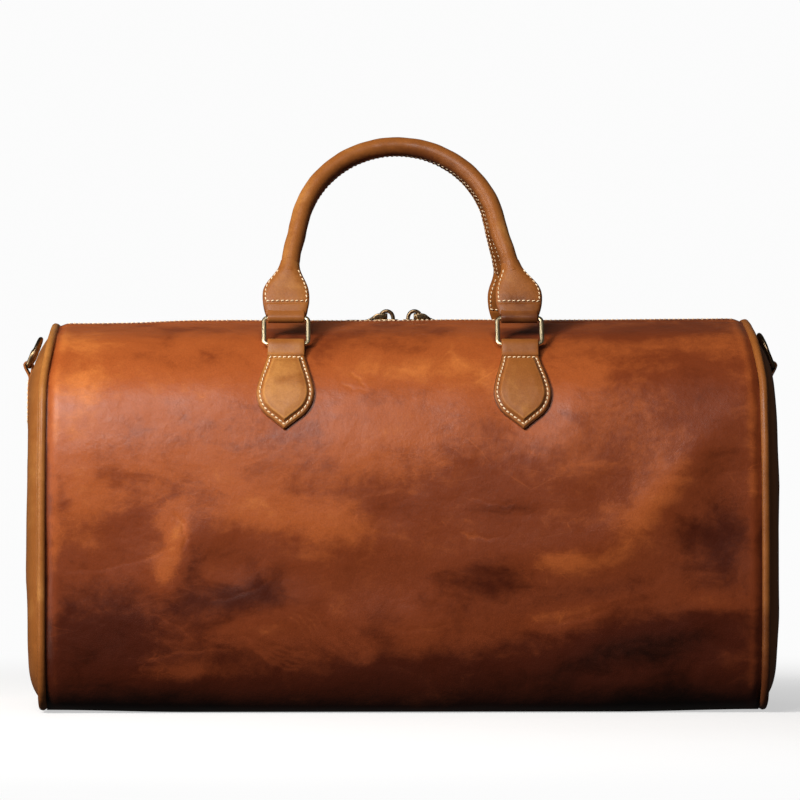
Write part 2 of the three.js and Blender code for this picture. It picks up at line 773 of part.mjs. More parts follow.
function dRingTab() {
  const taperFrom = D_TAB_LENGTH - D_TAB_TAPER_LENGTH;
  const half = (s) => STRAP_WIDTH / 2 - D_TAB_TAPER * THREE.MathUtils.smoothstep(s, taperFrom, D_TAB_LENGTH);
  const cover = coverRows(D_TAB_LENGTH, half, D_TAB_STEPS, D_TAB_FLATTER);
  return tabWithLoop(endSurface, Y_AXIS, cover, D_TAB_LENGTH - D_TAB_BACK_SHORTER);
}

// ---------- flat pieces of the base ----------

function basePanel() {
  const half = BASE_HALF - BASE_MARGIN;
  return box(-SEAM_X, SEAM_X, -half, half, 0, LEATHER);
}

function baseBoard() {
  const x = SEAM_X - BOARD_MARGIN;
  const low = LEATHER + GAP;
  return box(-x, x, -BASE_HALF, BASE_HALF, low, low + BOARD);
}

function baseLining() {
  const x = SEAM_X - BOARD_MARGIN;
  const y = BASE_HALF - BASE_LINING_MARGIN;
  const low = LEATHER + BOARD + 2 * GAP;
  return box(-x, x, -y, y, low, low + LINING);
}

// ---------- assembly ----------

const bag = new THREE.Group();

addPart(bag, "base_panel", basePanel(), bodyLeather());
addPart(bag, "base_board", baseBoard(), board());
addPart(bag, "lining_base", baseLining(), liningCloth());

function buildSide(side, left, right) {
  const group = new THREE.Group();
  if (side === "back") group.rotation.z = Math.PI;
  const depth = LEATHER + GAP;
  const mouthDepth = TAPE_TOP + TAPE + GAP;
  const panel = frontSheet(PANEL_STATIONS, 0, LEATHER, 0);
  const flap = frontSheet(FLAP_STATIONS, 0, LEATHER, FLAP_SHORTER);
  const lining = frontSheet(PANEL_STATIONS.slice(1), depth, depth + LINING, LINING_SHORTER);
  const mouthStations = [...FLAP_STATIONS.slice(0, -1), PROFILE_LENGTH - MOUTH_LINING_EDGE];
  const mouthLining = frontSheet(mouthStations, mouthDepth, mouthDepth + LINING, MOUTH_LINING_SHORTER);
  addPart(group, `${side}_panel`, panel, bodyLeather());
  addPart(group, `${side}_panel_mouth_flap`, flap, bodyLeather());
  addPart(group, `lining_${side}`, lining, liningCloth());
  addPart(group, `lining_mouth_${side}`, mouthLining, liningCloth());
  addPart(group, `zip_tape_${side}`, zipTape(), tapeCloth());
  addPart(group, `zip_teeth_${side}`, teethRow(), brass());
  addPart(group, `handle_leather_${side}`, handleLeather(), trimLeather());
  addPart(group, `handle_core_${side}`, gripCore(), padding());
  [
    [left, -RING_X],
    [right, RING_X],
  ].forEach(([name, x]) => {
    addPart(group, `chape_${side}_${name}`, chape(x), trimLeather());
    addPart(group, `chape_padding_${side}_${name}`, chapePadding(x), padding());
    addPart(group, `handle_ring_${side}_${name}`, handleRing(x), brass());
  });
  bag.add(group);
}

function buildEnd(end) {
  const group = new THREE.Group();
  if (end === "left") group.rotation.z = Math.PI;
  addPart(group, `end_panel_${end}`, endPanel(), bodyLeather());
  addPart(group, `lining_end_${end}`, endLining(), liningCloth());
  addPart(group, `piping_${end}`, piping(), pipingLeather());
  addPart(group, `piping_cord_${end}`, pipingCord(), padding());
  addPart(group, `d_ring_${end}`, dRing(), brass());
  addPart(group, `d_ring_tab_${end}`, dRingTab(), trimLeather());
  addPart(group, `zip_stop_${end}`, zipStop(), bronze());
  addPart(group, `zip_slider_${end}`, slider(), bronze());
  addPart(group, `zip_pull_${end}`, zipPull(), bronze());
  bag.add(group);
}

buildSide("front", "left", "right");
buildSide("back", "right", "left");
buildEnd("left");
buildEnd("right");

export default bag;
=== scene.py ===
"""The looks of a waxed-leather duffel bag: modelled leather, brass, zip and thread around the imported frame.

Metres. +Z is up and the front faces -Y, as in the frame. Pieces are drawn once, at the front or at
the +X end, and turned half round for the back or the -X end, as the bag is made.
"""
import math

import bpy
import numpy as np
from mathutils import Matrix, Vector

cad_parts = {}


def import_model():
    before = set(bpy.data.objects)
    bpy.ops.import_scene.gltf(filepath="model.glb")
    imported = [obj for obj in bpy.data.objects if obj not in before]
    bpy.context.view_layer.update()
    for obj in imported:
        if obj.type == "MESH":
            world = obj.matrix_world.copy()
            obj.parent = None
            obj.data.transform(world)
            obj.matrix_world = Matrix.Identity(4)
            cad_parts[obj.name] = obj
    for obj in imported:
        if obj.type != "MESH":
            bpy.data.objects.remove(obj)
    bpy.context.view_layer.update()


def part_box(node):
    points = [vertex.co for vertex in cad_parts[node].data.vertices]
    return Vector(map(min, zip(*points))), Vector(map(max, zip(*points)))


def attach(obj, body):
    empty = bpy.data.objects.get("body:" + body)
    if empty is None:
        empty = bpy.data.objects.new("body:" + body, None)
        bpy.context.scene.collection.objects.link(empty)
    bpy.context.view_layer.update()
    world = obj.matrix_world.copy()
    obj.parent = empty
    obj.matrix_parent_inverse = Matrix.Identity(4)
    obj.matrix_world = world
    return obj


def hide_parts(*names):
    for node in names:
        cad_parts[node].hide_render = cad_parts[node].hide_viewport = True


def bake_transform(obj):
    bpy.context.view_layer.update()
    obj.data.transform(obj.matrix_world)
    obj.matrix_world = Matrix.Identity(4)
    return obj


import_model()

# ---------- sizes shared with the frame ----------

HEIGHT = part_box("front_panel_mouth_flap")[1].z
SEAM_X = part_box("front_panel")[1].x
SEAM_DRAW_IN = 0.005
DRAW_IN_FROM = 0.225  # above this height the end seams lean inwards
BASE_HALF = 0.084  # half the depth of the flat base
END_BULGE = 0.0127
BULGE_POWER = 11  # the higher, the flatter the end and the tighter its rim
END_CENTRE_Z = 0.137

# Half of the cross-section: distance from the middle plane, height above the floor.
PROFILE_POINTS = [
    (BASE_HALF, 0), (0.103, 0.007), (0.115, 0.027), (0.1195, 0.062), (0.120, 0.105), (0.1175, 0.150),
    (0.111, 0.192), (0.097, 0.231), (0.069, 0.260), (0.036, 0.271), (0.008, HEIGHT),
]
FOLD_SHARE = 0.8  # share of the curve below the line where the top flap folds back

GAP = 0.0003  # between neighbouring layers, as in the frame
LEATHER = 0.0020
LINING = 0.0008
TAPE_DEPTH = LEATHER + GAP
TAPE = 0.0008

RING_X = 0.082
RING_WIDTH = 0.031
RING_HEIGHT = 0.0205
BAR_STANDOFF = 0.0044
RING_BELOW_FOLD = 0.0095
STRAP_HALF = 0.013
HANDLE_LEAN = math.radians(27.1)
GRIP_R = 0.0064
CORE_R = 0.0037

STITCH_PITCH = 0.0034
MOUTH_HALF = 0.190  # the mouth opens between these distances from the middle

# ---------- numbers ----------


def smoothstep(value, low, high):
    t = np.clip((value - low) / (high - low), 0, 1)
    return t * t * (3 - 2 * t)


def spline(points, count):
    """A uniform Catmull-Rom curve through the points, with its ends held."""
    p = np.asarray(points, float)
    t = np.linspace(0, len(p) - 1, count)
    i = np.minimum(t.astype(int), len(p) - 2)
    u = (t - i)[:, None]
    a, b = p[np.maximum(i - 1, 0)], p[i]
    c, d = p[i + 1], p[np.minimum(i + 2, len(p) - 1)]
    return b + 0.5 * u * ((c - a) + u * ((2 * a - 5 * b + 4 * c - d) + u * (3 * b - a - 3 * c + d)))


def unit(vectors):
    return vectors / np.linalg.norm(vectors, axis=-1, keepdims=True)


def ahead_of(path):
    """Direction of a path at each of its points."""
    return unit(np.gradient(path, axis=0))


def round_angles(count, half_step=0.0):
    """Evenly spaced angles round a full turn."""
    return (np.arange(count) + half_step) / count * 2 * math.pi


def lengths_along(points):
    """Distance of each point of a path from its start."""
    return np.concatenate([[0], np.cumsum(np.linalg.norm(np.diff(points, axis=0), axis=1))])


def spaced(points, count, closed=False):
    """The same path with evenly spaced points."""
    points = np.asarray(points, float)
    if closed:
        points = np.vstack([points, points[:1]])
    along = lengths_along(points)
    at = np.linspace(0, along[-1], count, endpoint=not closed)
    return np.stack([np.interp(at, along, points[:, k]) for k in range(points.shape[1])], 1)


def cloud(u, v, seed, size, octaves=3):
    """Smooth random values from -1 to 1 that vary over a size, the same on each run."""
    total, weight, share = 0.0, 0.0, 1.0
    for octave in range(octaves):
        lattice = np.random.RandomState(seed + octave).uniform(-1, 1, (97, 89))
        a = np.asarray(u, float) / size * 2**octave + 40.3
        b = np.asarray(v, float) / size * 2**octave + 31.7
        i, j = np.floor(a).astype(int), np.floor(b).astype(int)
        a, b = smoothstep(a - i, 0, 1), smoothstep(b - j, 0, 1)
        row = [lattice[(i + k) % 97, j % 89] * (1 - b) + lattice[(i + k) % 97, (j + 1) % 89] * b for k in (0, 1)]
        total = total + share * (row[0] * (1 - a) + row[1] * a)
        weight, share = weight + share, share * 0.5
    return total / weight


CURVE = spline(PROFILE_POINTS, 2001)
ALONG = lengths_along(CURVE)
LENGTH = ALONG[-1]
TANGENT = unit(np.gradient(CURVE, ALONG, axis=0))
FOLD = ALONG[int(FOLD_SHARE * 2000)]
RING_DISTANCE = FOLD - RING_BELOW_FOLD  # along the profile, where a chape's bar lies


def profile_at(distance):
    """Distance from the middle plane, height, and the way out, at a distance along the profile."""
    half, z = (np.interp(distance, ALONG, CURVE[:, k]) for k in (0, 1))
    out_half, out_z = (np.interp(distance, ALONG, TANGENT[:, k]) for k in (1, 0))
    return half, z, out_half, -out_z


def height_at(distance):
    return np.interp(distance, ALONG, CURVE[:, 1])


def seam_x(z):
    """Half length between the end seams at a height."""
    return SEAM_X - SEAM_DRAW_IN * smoothstep(z, DRAW_IN_FROM, HEIGHT)


def surface(x, distance, out):
    """A point of the front, moved out along its normal."""
    half, z, out_half, out_z = profile_at(distance)
    x, y, z = np.broadcast_arrays(x, -(half + out_half * out), z + out_z * out)
    return np.stack([x, y, z], -1)


def turned(points, turn):
    """The same points half round the vertical axis, where turn is set."""
    return points * np.array([-1, -1, 1]) if turn else points


# ---------- meshes ----------


def new_object(name, vertices, faces):
    """A smooth mesh that stores where its points are at rest, for the materials."""
    mesh = bpy.data.meshes.new(name)
    mesh.from_pydata(np.asarray(vertices, float).tolist(), [], faces)
    mesh.update()
    rest = mesh.attributes.new("rest", "FLOAT_VECTOR", "POINT")
    rest.data.foreach_set("vector", np.asarray(vertices, np.float32).ravel())
    mesh.polygons.foreach_set("use_smooth", [True] * len(mesh.polygons))
    obj = bpy.data.objects.new(name, mesh)
    bpy.context.collection.objects.link(obj)
    return obj


def strip_faces(rows, columns, wrap_rows=False):
    """Quads between neighbouring closed rows of points."""
    faces = []
    for i in range(rows if wrap_rows else rows - 1):
        a, b = i * columns, ((i + 1) % rows) * columns
        for j in range(columns):
            k = (j + 1) % columns
            faces.append((a + j, a + k, b + k, b + j))
    return faces


class Shape:
    """Gathers the surfaces of one piece."""

    def __init__(self):
        self.points, self.faces, self.count = [], [], 0

    def add(self, points, faces):
        points = np.asarray(points, float).reshape(-1, 3)
        self.points.append(points)
        self.faces += [tuple(k + self.count for k in face) for face in faces]
        self.count += len(points)

    def loft(self, sections, closed=False):
        """A closed body through sections with the same number of points each."""
        sections = np.asarray(sections, float)
        rows, columns = sections.shape[:2]
        points = sections.reshape(-1, 3)
        faces = strip_faces(rows, columns, wrap_rows=closed)
        inward = volume(points - points.mean(0), np.array(faces)) < 0
        if not closed:
            last = (rows - 1) * columns
            faces.append(tuple(range(columns))[::-1])
            faces.append(tuple(last + k for k in range(columns)))
        if inward:
            faces = [face[::-1] for face in faces]
        self.add(points, faces)

    def build(self, name, turn=False):
        return new_object(name, settled(turned(np.vstack(self.points), turn)), self.faces)


def settled(points):
    """The stuffed bag stands a little lower at its left end than at its right, and its lower corners lift."""
    x, z = points[:, 0], points[:, 2]
    share = smoothstep(np.abs(x), 0.10, 0.23) * smoothstep(z, 0.18, 0.27)
    share = share * (1 - smoothstep(np.abs(x), 0.2618, 0.2640))
    lift = np.where(x < 0, -0.0021, 0.0011) * share
    lift = lift + 0.0016 * smoothstep(np.abs(x), 0.150, SEAM_X) * (1 - smoothstep(z, 0.0, 0.05))
    return points + np.stack([0 * x, 0 * x, lift], 1)


def volume(points, quads):
    """Signed volume inside four-sided faces, to tell which way they look."""
    a, b, c, d = (points[quads[:, k]] for k in range(4))
    return np.einsum("ij,ij->", a, np.cross(b, c)) + np.einsum("ij,ij->", a, np.cross(c, d))


def paint(obj, **values):
    """Stores a number for each point, which the materials read."""
    for name, value in values.items():
        layer = obj.data.attributes.new(name, "FLOAT", "POINT")
        layer.data.foreach_set("value", np.asarray(value, np.float32).ravel())


def finish_piece(obj, look, body=None, replaced=()):
    """Gives a piece its look, the body it rides on and the nodes it stands for."""
    obj.data.materials.append(look)
    if body:
        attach(obj, body)
    if replaced:
        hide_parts(*replaced)
    return obj


def mouth_weight(x):
    """A weight for the edge of the mouth at x: 1 in the middle, falling to 0 at its ends."""
    return np.clip(1 - (x / MOUTH_HALF) ** 2, 0, 1) ** 1.5


def follow_mouth(obj, weight):
    """Bakes the piece's placement into its points; the weight for each point is not used."""
    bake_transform(obj)
    weight = np.asarray(weight, np.float32).ravel()


# ---------- thread ----------

STITCH_R = 0.00048
STITCH_LENGTH = 0.0025
STITCH_SIDES = 6
# Share of the length and of the radius at each section of a stitch, and how far it lies above the leather.
STITCH_SECTIONS = [
    (-0.5, 0.45, -1.0), (-0.4, 0.85, -0.1), (-0.18, 1.0, 0.25), (0.18, 1.0, 0.25), (0.4, 0.85, -0.1), (0.5, 0.45, -1.0),
]
STITCH_SLANT = 0.18  # radians off the line of the seam


def stitches(shape, path, normals, size=1.0):
    """A row of stitches along a path of points, lying on a surface with the given normals."""
    path, normals = np.asarray(path, float), np.asarray(normals, float)
    along = lengths_along(path)
    count = max(2, round(along[-1] / STITCH_PITCH))
    at = (np.arange(count) + 0.5) * along[-1] / count
    pick = lambda rows, d: np.stack([np.interp(d, along, rows[:, k]) for k in range(3)], 1)
    centre, up = pick(path, at), unit(pick(normals, at))
    ahead = unit(pick(path, np.minimum(at + 0.001, along[-1])) - pick(path, np.maximum(at - 0.001, 0)))
    ahead = ahead * math.cos(STITCH_SLANT) + np.cross(up, ahead) * math.sin(STITCH_SLANT)
    across = np.cross(up, ahead)
    share, girth, lift = (np.array(column)[None, :, None, None] for column in zip(*STITCH_SECTIONS))
    angles = round_angles(STITCH_SIDES)[None, None, :, None]
    centre, up, ahead, across = (rows[:, None, None, :] for rows in (centre, up, ahead, across))
    middle = centre + ahead * share * STITCH_LENGTH * size + up * lift * STITCH_R * size
    points = middle + (across * np.cos(angles) + up * np.sin(angles)) * STITCH_R * size * girth
    sections, each = len(STITCH_SECTIONS), len(STITCH_SECTIONS) * STITCH_SIDES
    faces = strip_faces(sections, STITCH_SIDES)
    faces.append(tuple(range(STITCH_SIDES))[::-1])
    faces.append(tuple(range(each - STITCH_SIDES, each)))
    shape.add(points, [tuple(k + n * each for k in face) for n in range(count) for face in faces])


# ---------- materials ----------


def feed(tree, socket, value):
    """Links an output to a socket, or sets the socket to a plain value."""
    if isinstance(value, bpy.types.NodeSocket):
        tree.links.new(value, socket)
    else:
        socket.default_value = value


def add_node(tree, kind, inputs=(), **settings):
    made = tree.nodes.new(kind)
    for name, value in settings.items():
        setattr(made, name, value)
    for name, value in dict(inputs).items():
        feed(tree, made.inputs[name], value)
    return made


def new_material(name):
    made = bpy.data.materials.new(name)
    made.use_nodes = True
    tree = made.node_tree
    shader = tree.nodes["Principled BSDF"]
    return made, tree, shader


def maths(tree, operation, a, b=0.0, c=0.0, clamp=False):
    made = add_node(tree, "ShaderNodeMath", operation=operation, use_clamp=clamp)
    for socket, value in zip(made.inputs, (a, b, c)):
        feed(tree, socket, value)
    return made.outputs[0]


def remap(tree, value, low, high, to_low=0.0, to_high=1.0):
    """Eases a value from one span to another."""
    spans = {"Value": value, "From Min": low, "From Max": high, "To Min": to_low, "To Max": to_high}
    return add_node(tree, "ShaderNodeMapRange", spans, interpolation_type="SMOOTHSTEP").outputs[0]


def stored(tree, name, output="Fac"):
    """A value stored for each point of the piece."""
    return add_node(tree, "ShaderNodeAttribute", attribute_name=name).outputs[output]


def moved(tree, place, seed, stretch=(1, 1, 1), turn=(0, 0, 0)):
    """The place stretched and turned, and shifted so that each seed reads another part of a pattern."""
    inputs = {"Vector": place, "Scale": stretch, "Rotation": turn, "Location": (seed, seed * 0.7, seed * 1.3)}
    return add_node(tree, "ShaderNodeMapping", inputs).outputs[0]


def noise_of(tree, place, scale, detail=4.0, roughness=0.55, distortion=0.0, stretch=(1, 1, 1), seed=0.0):
    inputs = {
        "Vector": moved(tree, place, seed, stretch), "Scale": scale,
        "Detail": detail, "Roughness": roughness, "Distortion": distortion,
    }
    return add_node(tree, "ShaderNodeTexNoise", inputs).outputs["Fac"]


def mix_colour(tree, factor, a, b):
    made = add_node(tree, "ShaderNodeMix", data_type="RGBA")
    for index, value in ((0, factor), (6, a), (7, b)):
        feed(tree, made.inputs[index], value)
    return made.outputs[2]


def swayed(tree, value, noise, amount):
    """The value moved up and down by a noise, which lies round 0.5."""
    return maths(tree, "MULTIPLY_ADD", maths(tree, "SUBTRACT", noise, 0.5), amount, value)


def ramp(tree, value, stops):
    """A colour for a value, eased between stops of position and colour."""
    made = add_node(tree, "ShaderNodeValToRGB", {"Fac": value})
    elements = made.color_ramp.elements
    made.color_ramp.interpolation = "EASE"
    while len(elements) < len(stops):
        elements.new(0.5)
    for element, (position, colour) in zip(elements, stops):
        element.position, element.color = position, (*colour, 1)
    return made.outputs["Color"]


def bumped(tree, shader, height, distance, strength, normal=None):
    """Presses a height pattern into the shader, on top of another one where normal is given."""
    inputs = {"Height": height, "Distance": distance, "Strength": strength}
    if normal:
        inputs["Normal"] = normal
    made = add_node(tree, "ShaderNodeBump", inputs).outputs[0]
    feed(tree, shader.inputs["Normal"], made)
    return made


# Colours of the waxed leather from its darkest to its palest tone.
LEATHER_TONES = [
    (0.00, (0.0080, 0.0014, 0.0005)),
    (0.22, (0.0480, 0.0070, 0.0018)),
    (0.42, (0.1500, 0.0280, 0.0062)),
    (0.58, (0.2900, 0.0660, 0.0130)),
    (0.76, (0.4700, 0.1400, 0.0280)),
    (1.00, (0.6400, 0.2600, 0.0750)),
]
TRIM_TONES = [
    (0.00, (0.0160, 0.0040, 0.0012)),
    (0.25, (0.0800, 0.0200, 0.0046)),
    (0.50, (0.2350, 0.0760, 0.0140)),
    (0.75, (0.4200, 0.1800, 0.0420)),
    (1.00, (0.5800, 0.3000, 0.0950)),
]


def veins(tree, place, scale, width, stretch, turn, seed):
    """Fine creases in the skin: the borders of long warped cells."""
    warp = add_node(tree, "ShaderNodeTexNoise", {"Vector": place, "Scale": scale * 0.6, "Detail": 3.0})
    inputs = {0: warp.outputs["Color"], 1: (0.012, 0.012, 0.012), 2: place}
    warped = add_node(tree, "ShaderNodeVectorMath", inputs, operation="MULTIPLY_ADD").outputs[0]
    inputs = {"Vector": moved(tree, warped, seed, stretch, turn), "Scale": scale}
    cells = add_node(tree, "ShaderNodeTexVoronoi", inputs, feature="DISTANCE_TO_EDGE").outputs["Distance"]
    return remap(tree, cells, 0.0, width, 1.0, 0.0)


def leather(name, base, contrast=1.0, tones=LEATHER_TONES, roughness=0.40, seed=0.0, grain=1.0, marks=1.0):
    """Waxed pull-up leather: cloudy patches, pale rubbed marks, fine grain and a waxy shine.

    base is the tone in the middle of the ramp; the stored numbers tone and scuff move it from place to place, and the
    stored tone also holds painted light and shade.
    """
    made, tree, shader = new_material(name)
    place = stored(tree, "rest", "Vector")
    large = noise_of(tree, place, 7.0, 3.0, 0.55, 0.9, seed=seed)
    middle = noise_of(tree, place, 26.0, 5.0, 0.62, 0.5, stretch=(1, 1, 1.7), seed=seed + 3)
    fine = noise_of(tree, place, 160.0, 6.0, 0.7, seed=seed + 5)
    tone = base
    for noise, amount in ((large, 0.34), (middle, 0.36), (fine, 0.13)):
        tone = swayed(tree, tone, noise, amount * contrast)
    lines = []
    for scale, width, stretch, turn, vein_seed, where_scale, where_seed, low in (
        (34.0, 0.020, (0.6, 0.6, 2.2), (0.2, 0.35, 0.1), 7, 9.0, 13, 0.50),
        (90.0, 0.035, (0.6, 0.6, 1.8), (0.1, -0.5, 0.4), 11, 14.0, 29, 0.54),
    ):
        where = noise_of(tree, place, where_scale, detail=2.0, seed=seed + where_seed)
        folds = veins(tree, place, scale, width, stretch, turn, seed + vein_seed)
        lines.append(maths(tree, "MULTIPLY", folds, remap(tree, where, low, low + 0.14)))
    rubbed = maths(tree, "MULTIPLY", maths(tree, "MAXIMUM", *lines), marks * 0.5)
    rubbed = maths(tree, "ADD", stored(tree, "scuff"), rubbed, clamp=True)
    tone = maths(tree, "ADD", tone, stored(tree, "tone"))
    tone = maths(tree, "MULTIPLY_ADD", rubbed, 0.14, tone)
    speck = noise_of(tree, place, 900.0, detail=3.0, roughness=0.6, seed=seed + 17)
    speck = remap(tree, speck, 0.35, 0.7, 0.0, 0.16)
    colour = mix_colour(tree, speck, ramp(tree, tone, tones), (0.03, 0.008, 0.003, 1))
    feed(tree, shader.inputs["Base Color"], colour)
    polish = swayed(tree, roughness, middle, 0.35)
    feed(tree, shader.inputs["Roughness"], maths(tree, "MULTIPLY_ADD", rubbed, 0.10, polish))
    shader.inputs["Specular IOR Level"].default_value = 0.42
    shader.inputs["Sheen Weight"].default_value = 0.03
    shader.inputs["Sheen Roughness"].default_value = 0.5
    shader.inputs["Sheen Tint"].default_value = (0.95, 0.62, 0.42, 1)
    pores = add_node(tree, "ShaderNodeTexVoronoi", {"Vector": place, "Scale": 1500.0}, feature="SMOOTH_F1")
    folds = noise_of(tree, place, 420.0, detail=3.0, roughness=0.6, seed=seed + 19)
    rolling = noise_of(tree, place, 70.0, detail=4.0, roughness=0.55, seed=seed + 23)
    height = maths(tree, "MULTIPLY_ADD", folds, 0.6, maths(tree, "MULTIPLY", pores.outputs["Distance"], 0.5))
    height = maths(tree, "MULTIPLY_ADD", rubbed, -0.8, height)
    first = bumped(tree, shader, height, 0.00013 * grain, 0.55)
    bumped(tree, shader, rolling, 0.0012 * grain, 0.5, first)
    return made


def thread(name):
    made, tree, shader = new_material(name)
    place = stored(tree, "rest", "Vector")
    twist = noise_of(tree, place, 1400.0, detail=2.0)
    soil = noise_of(tree, place, 60.0, detail=3.0, seed=4)
    colour = ramp(tree, soil, [(0.3, (0.52, 0.36, 0.20)), (0.5, (0.74, 0.57, 0.36)), (0.75, (0.86, 0.74, 0.54))])
    feed(tree, shader.inputs["Base Color"], colour)
    shader.inputs["Roughness"].default_value = 0.7
    shader.inputs["Sheen Weight"].default_value = 0.2
    bumped(tree, shader, twist, 0.0002, 0.7)
    return made


def metal(name, bright, dark, tarnish):
    """Plated brass, rubbed bright with darker tarnish in between."""
    made, tree, shader = new_material(name)
    place = stored(tree, "rest", "Vector")
    cloudy = noise_of(tree, place, 120.0, detail=5.0, roughness=0.65, seed=2)
    fine = noise_of(tree, place, 260.0, detail=3.0, stretch=(1, 1, 6), seed=5)
    edges = add_node(tree, "ShaderNodeNewGeometry").outputs["Pointiness"]
    worn = remap(tree, edges, 0.49, 0.56, 0.0, 0.5)
    factor = maths(tree, "SUBTRACT", remap(tree, cloudy, 0.38, 0.66, 0.0, tarnish), worn, clamp=True)
    feed(tree, shader.inputs["Base Color"], mix_colour(tree, factor, (*bright, 1), (*dark, 1)))
    shader.inputs["Metallic"].default_value = 1.0
    feed(tree, shader.inputs["Roughness"], maths(tree, "MULTIPLY_ADD", cloudy, 0.22, 0.22))
    bumped(tree, shader, fine, 0.00008, 0.35)
    return made


def cloth(name, dark, light, scale, weft="Z"):
    """Woven cotton: crossing threads in bump and colour."""
    made, tree, shader = new_material(name)
    place = stored(tree, "rest", "Vector")
    inputs = {"Vector": place, "Scale": scale, "Distortion": 0.6, "Detail": 1.0}
    threads = [add_node(tree, "ShaderNodeTexWave", inputs, bands_direction=way) for way in ("X", weft)]
    weave = maths(tree, "MULTIPLY", *(wave.outputs["Fac"] for wave in threads))
    mottle = noise_of(tree, place, 45.0)
    factor = maths(tree, "MULTIPLY_ADD", mottle, 0.6, maths(tree, "MULTIPLY", weave, 0.5))
    feed(tree, shader.inputs["Base Color"], mix_colour(tree, factor, (*dark, 1), (*light, 1)))
    shader.inputs["Roughness"].default_value = 0.88
    shader.inputs["Sheen Weight"].default_value = 0.25
    bumped(tree, shader, weave, 0.0003, 0.6)
    return made


def pressed(name, dark, light, scale):
    """Felt, cotton filler or fibre board."""
    made, tree, shader = new_material(name)
    place = stored(tree, "rest", "Vector")
    fibres = noise_of(tree, place, scale, detail=7.0, roughness=0.72, distortion=0.8, stretch=(1, 2.5, 1))
    feed(tree, shader.inputs["Base Color"], ramp(tree, fibres, [(0.3, dark), (0.7, light)]))
    shader.inputs["Roughness"].default_value = 0.85
    bumped(tree, shader, fibres, 0.0006, 0.6)
    return made


BODY = leather("waxed_body_leather", 0.55, marks=0.55)
END = leather("waxed_end_leather", 0.50, seed=2.0, contrast=0.8, tones=TRIM_TONES, marks=0.5)
TRIM = leather(
    "waxed_trim_leather", 0.57, seed=6.0, contrast=1.1, tones=TRIM_TONES, roughness=0.44, marks=0.3, grain=0.8
)
PIPING = leather("waxed_piping_leather", 0.50, seed=8.0, contrast=0.7, tones=TRIM_TONES, marks=0.3, grain=0.6)
BASE = leather("waxed_base_leather", 0.30, seed=9.0, contrast=0.7)
THREAD = thread("waxed_cream_thread")
BRASS = metal("pale_satin_brass", (0.88, 0.74, 0.46), (0.44, 0.32, 0.15), tarnish=0.35)
BRONZE = metal("antique_bronze", (0.42, 0.29, 0.16), (0.060, 0.040, 0.024), tarnish=1.0)
TEETH = metal("antique_brass_teeth", (0.62, 0.49, 0.28), (0.22, 0.15, 0.08), tarnish=0.7)
LINING_CLOTH = cloth("lining_cotton", (0.050, 0.030, 0.018), (0.105, 0.068, 0.042), 520.0)
TAPE_CLOTH = cloth("zip_tape_weave", (0.018, 0.011, 0.007), (0.060, 0.038, 0.024), 700.0, weft="DIAGONAL")
FELT = pressed("handle_felt", (0.32, 0.27, 0.20), (0.60, 0.54, 0.43), 300.0)
FILLER = pressed("piping_filler_cotton", (0.42, 0.34, 0.24), (0.72, 0.64, 0.50), 420.0)
BOARD = pressed("fibre_board", (0.12, 0.085, 0.055), (0.30, 0.23, 0.16), 220.0)

# ---------- the leather of the front and back ----------

ACROSS = 420  # points from end seam to end seam
OUTSIDE_ROWS = 290
INSIDE_ROWS = 60
EDGE_R = 0.001
HEM = 0.013  # width of the leather folded under along the zip

# Soft patches of colour, partly the leather's own mottling and partly painted light and shade on its folds, its right
# side and its lower part: x, z, half length, half height, tilt in degrees, tone.
TONE_AND_SHADE_PATCHES = [
    (-0.160, 0.118, 0.0065, 0.024, -14, 0.17),
    (-0.146, 0.106, 0.008, 0.018, -14, -0.12),
    (-0.170, 0.096, 0.014, 0.012, 30, 0.08),
    (-0.100, 0.062, 0.030, 0.014, -10, 0.08),
    (-0.066, 0.134, 0.046, 0.014, -8, 0.12),
    (0.036, 0.236, 0.060, 0.018, 4, 0.12),
    (-0.032, 0.232, 0.022, 0.012, 8, 0.06),
    (0.172, 0.146, 0.013, 0.050, -36, 0.12),
    (0.112, 0.106, 0.026, 0.008, 4, 0.15),
    (0.108, 0.070, 0.034, 0.009, 14, 0.12),
    (0.216, 0.078, 0.026, 0.007, -4, 0.12),
    (0.010, 0.052, 0.070, 0.012, 8, 0.06),
    (-0.155, 0.029, 0.045, 0.007, 3, 0.12),
    (-0.225, 0.225, 0.030, 0.040, 0, 0.10),
    (0.215, 0.250, 0.022, 0.016, 20, 0.06),
    (0.130, 0.240, 0.050, 0.012, 0, 0.07),
    (0.125, 0.218, 0.040, 0.014, 0, 0.07),
    (0.110, 0.190, 0.040, 0.020, 10, 0.04),
    (-0.050, 0.262, 0.090, 0.012, 0, -0.10),
    (0.140, 0.240, 0.060, 0.010, -20, -0.03),
    (0.150, 0.264, 0.050, 0.007, 0, -0.10),
    (0.204, 0.236, 0.020, 0.024, 0, -0.10),
    (-0.236, 0.110, 0.018, 0.060, 0, -0.08),
    (-0.205, 0.060, 0.034, 0.034, 0, -0.10),
    (-0.116, 0.081, 0.048, 0.013, 8, -0.20),
    (-0.188, 0.136, 0.016, 0.020, 0, -0.08),
    (-0.115, 0.110, 0.040, 0.012, -6, -0.07),
    (0.052, 0.146, 0.056, 0.028, 0, -0.15),
    (-0.015, 0.145, 0.025, 0.020, 0, -0.06),
    (-0.022, 0.216, 0.030, 0.014, 0, -0.07),
    (0.050, 0.098, 0.060, 0.018, -4, -0.13),
    (0.130, 0.084, 0.040, 0.008, 10, -0.10),
    (0.222, 0.116, 0.034, 0.030, 0, -0.16),
    (0.200, 0.052, 0.050, 0.016, 12, -0.14),
    (0.130, 0.040, 0.060, 0.014, 20, -0.16),
    (0.225, 0.160, 0.030, 0.040, 0, -0.08),
    (0.000, 0.026, 0.100, 0.016, 0, -0.10),
]

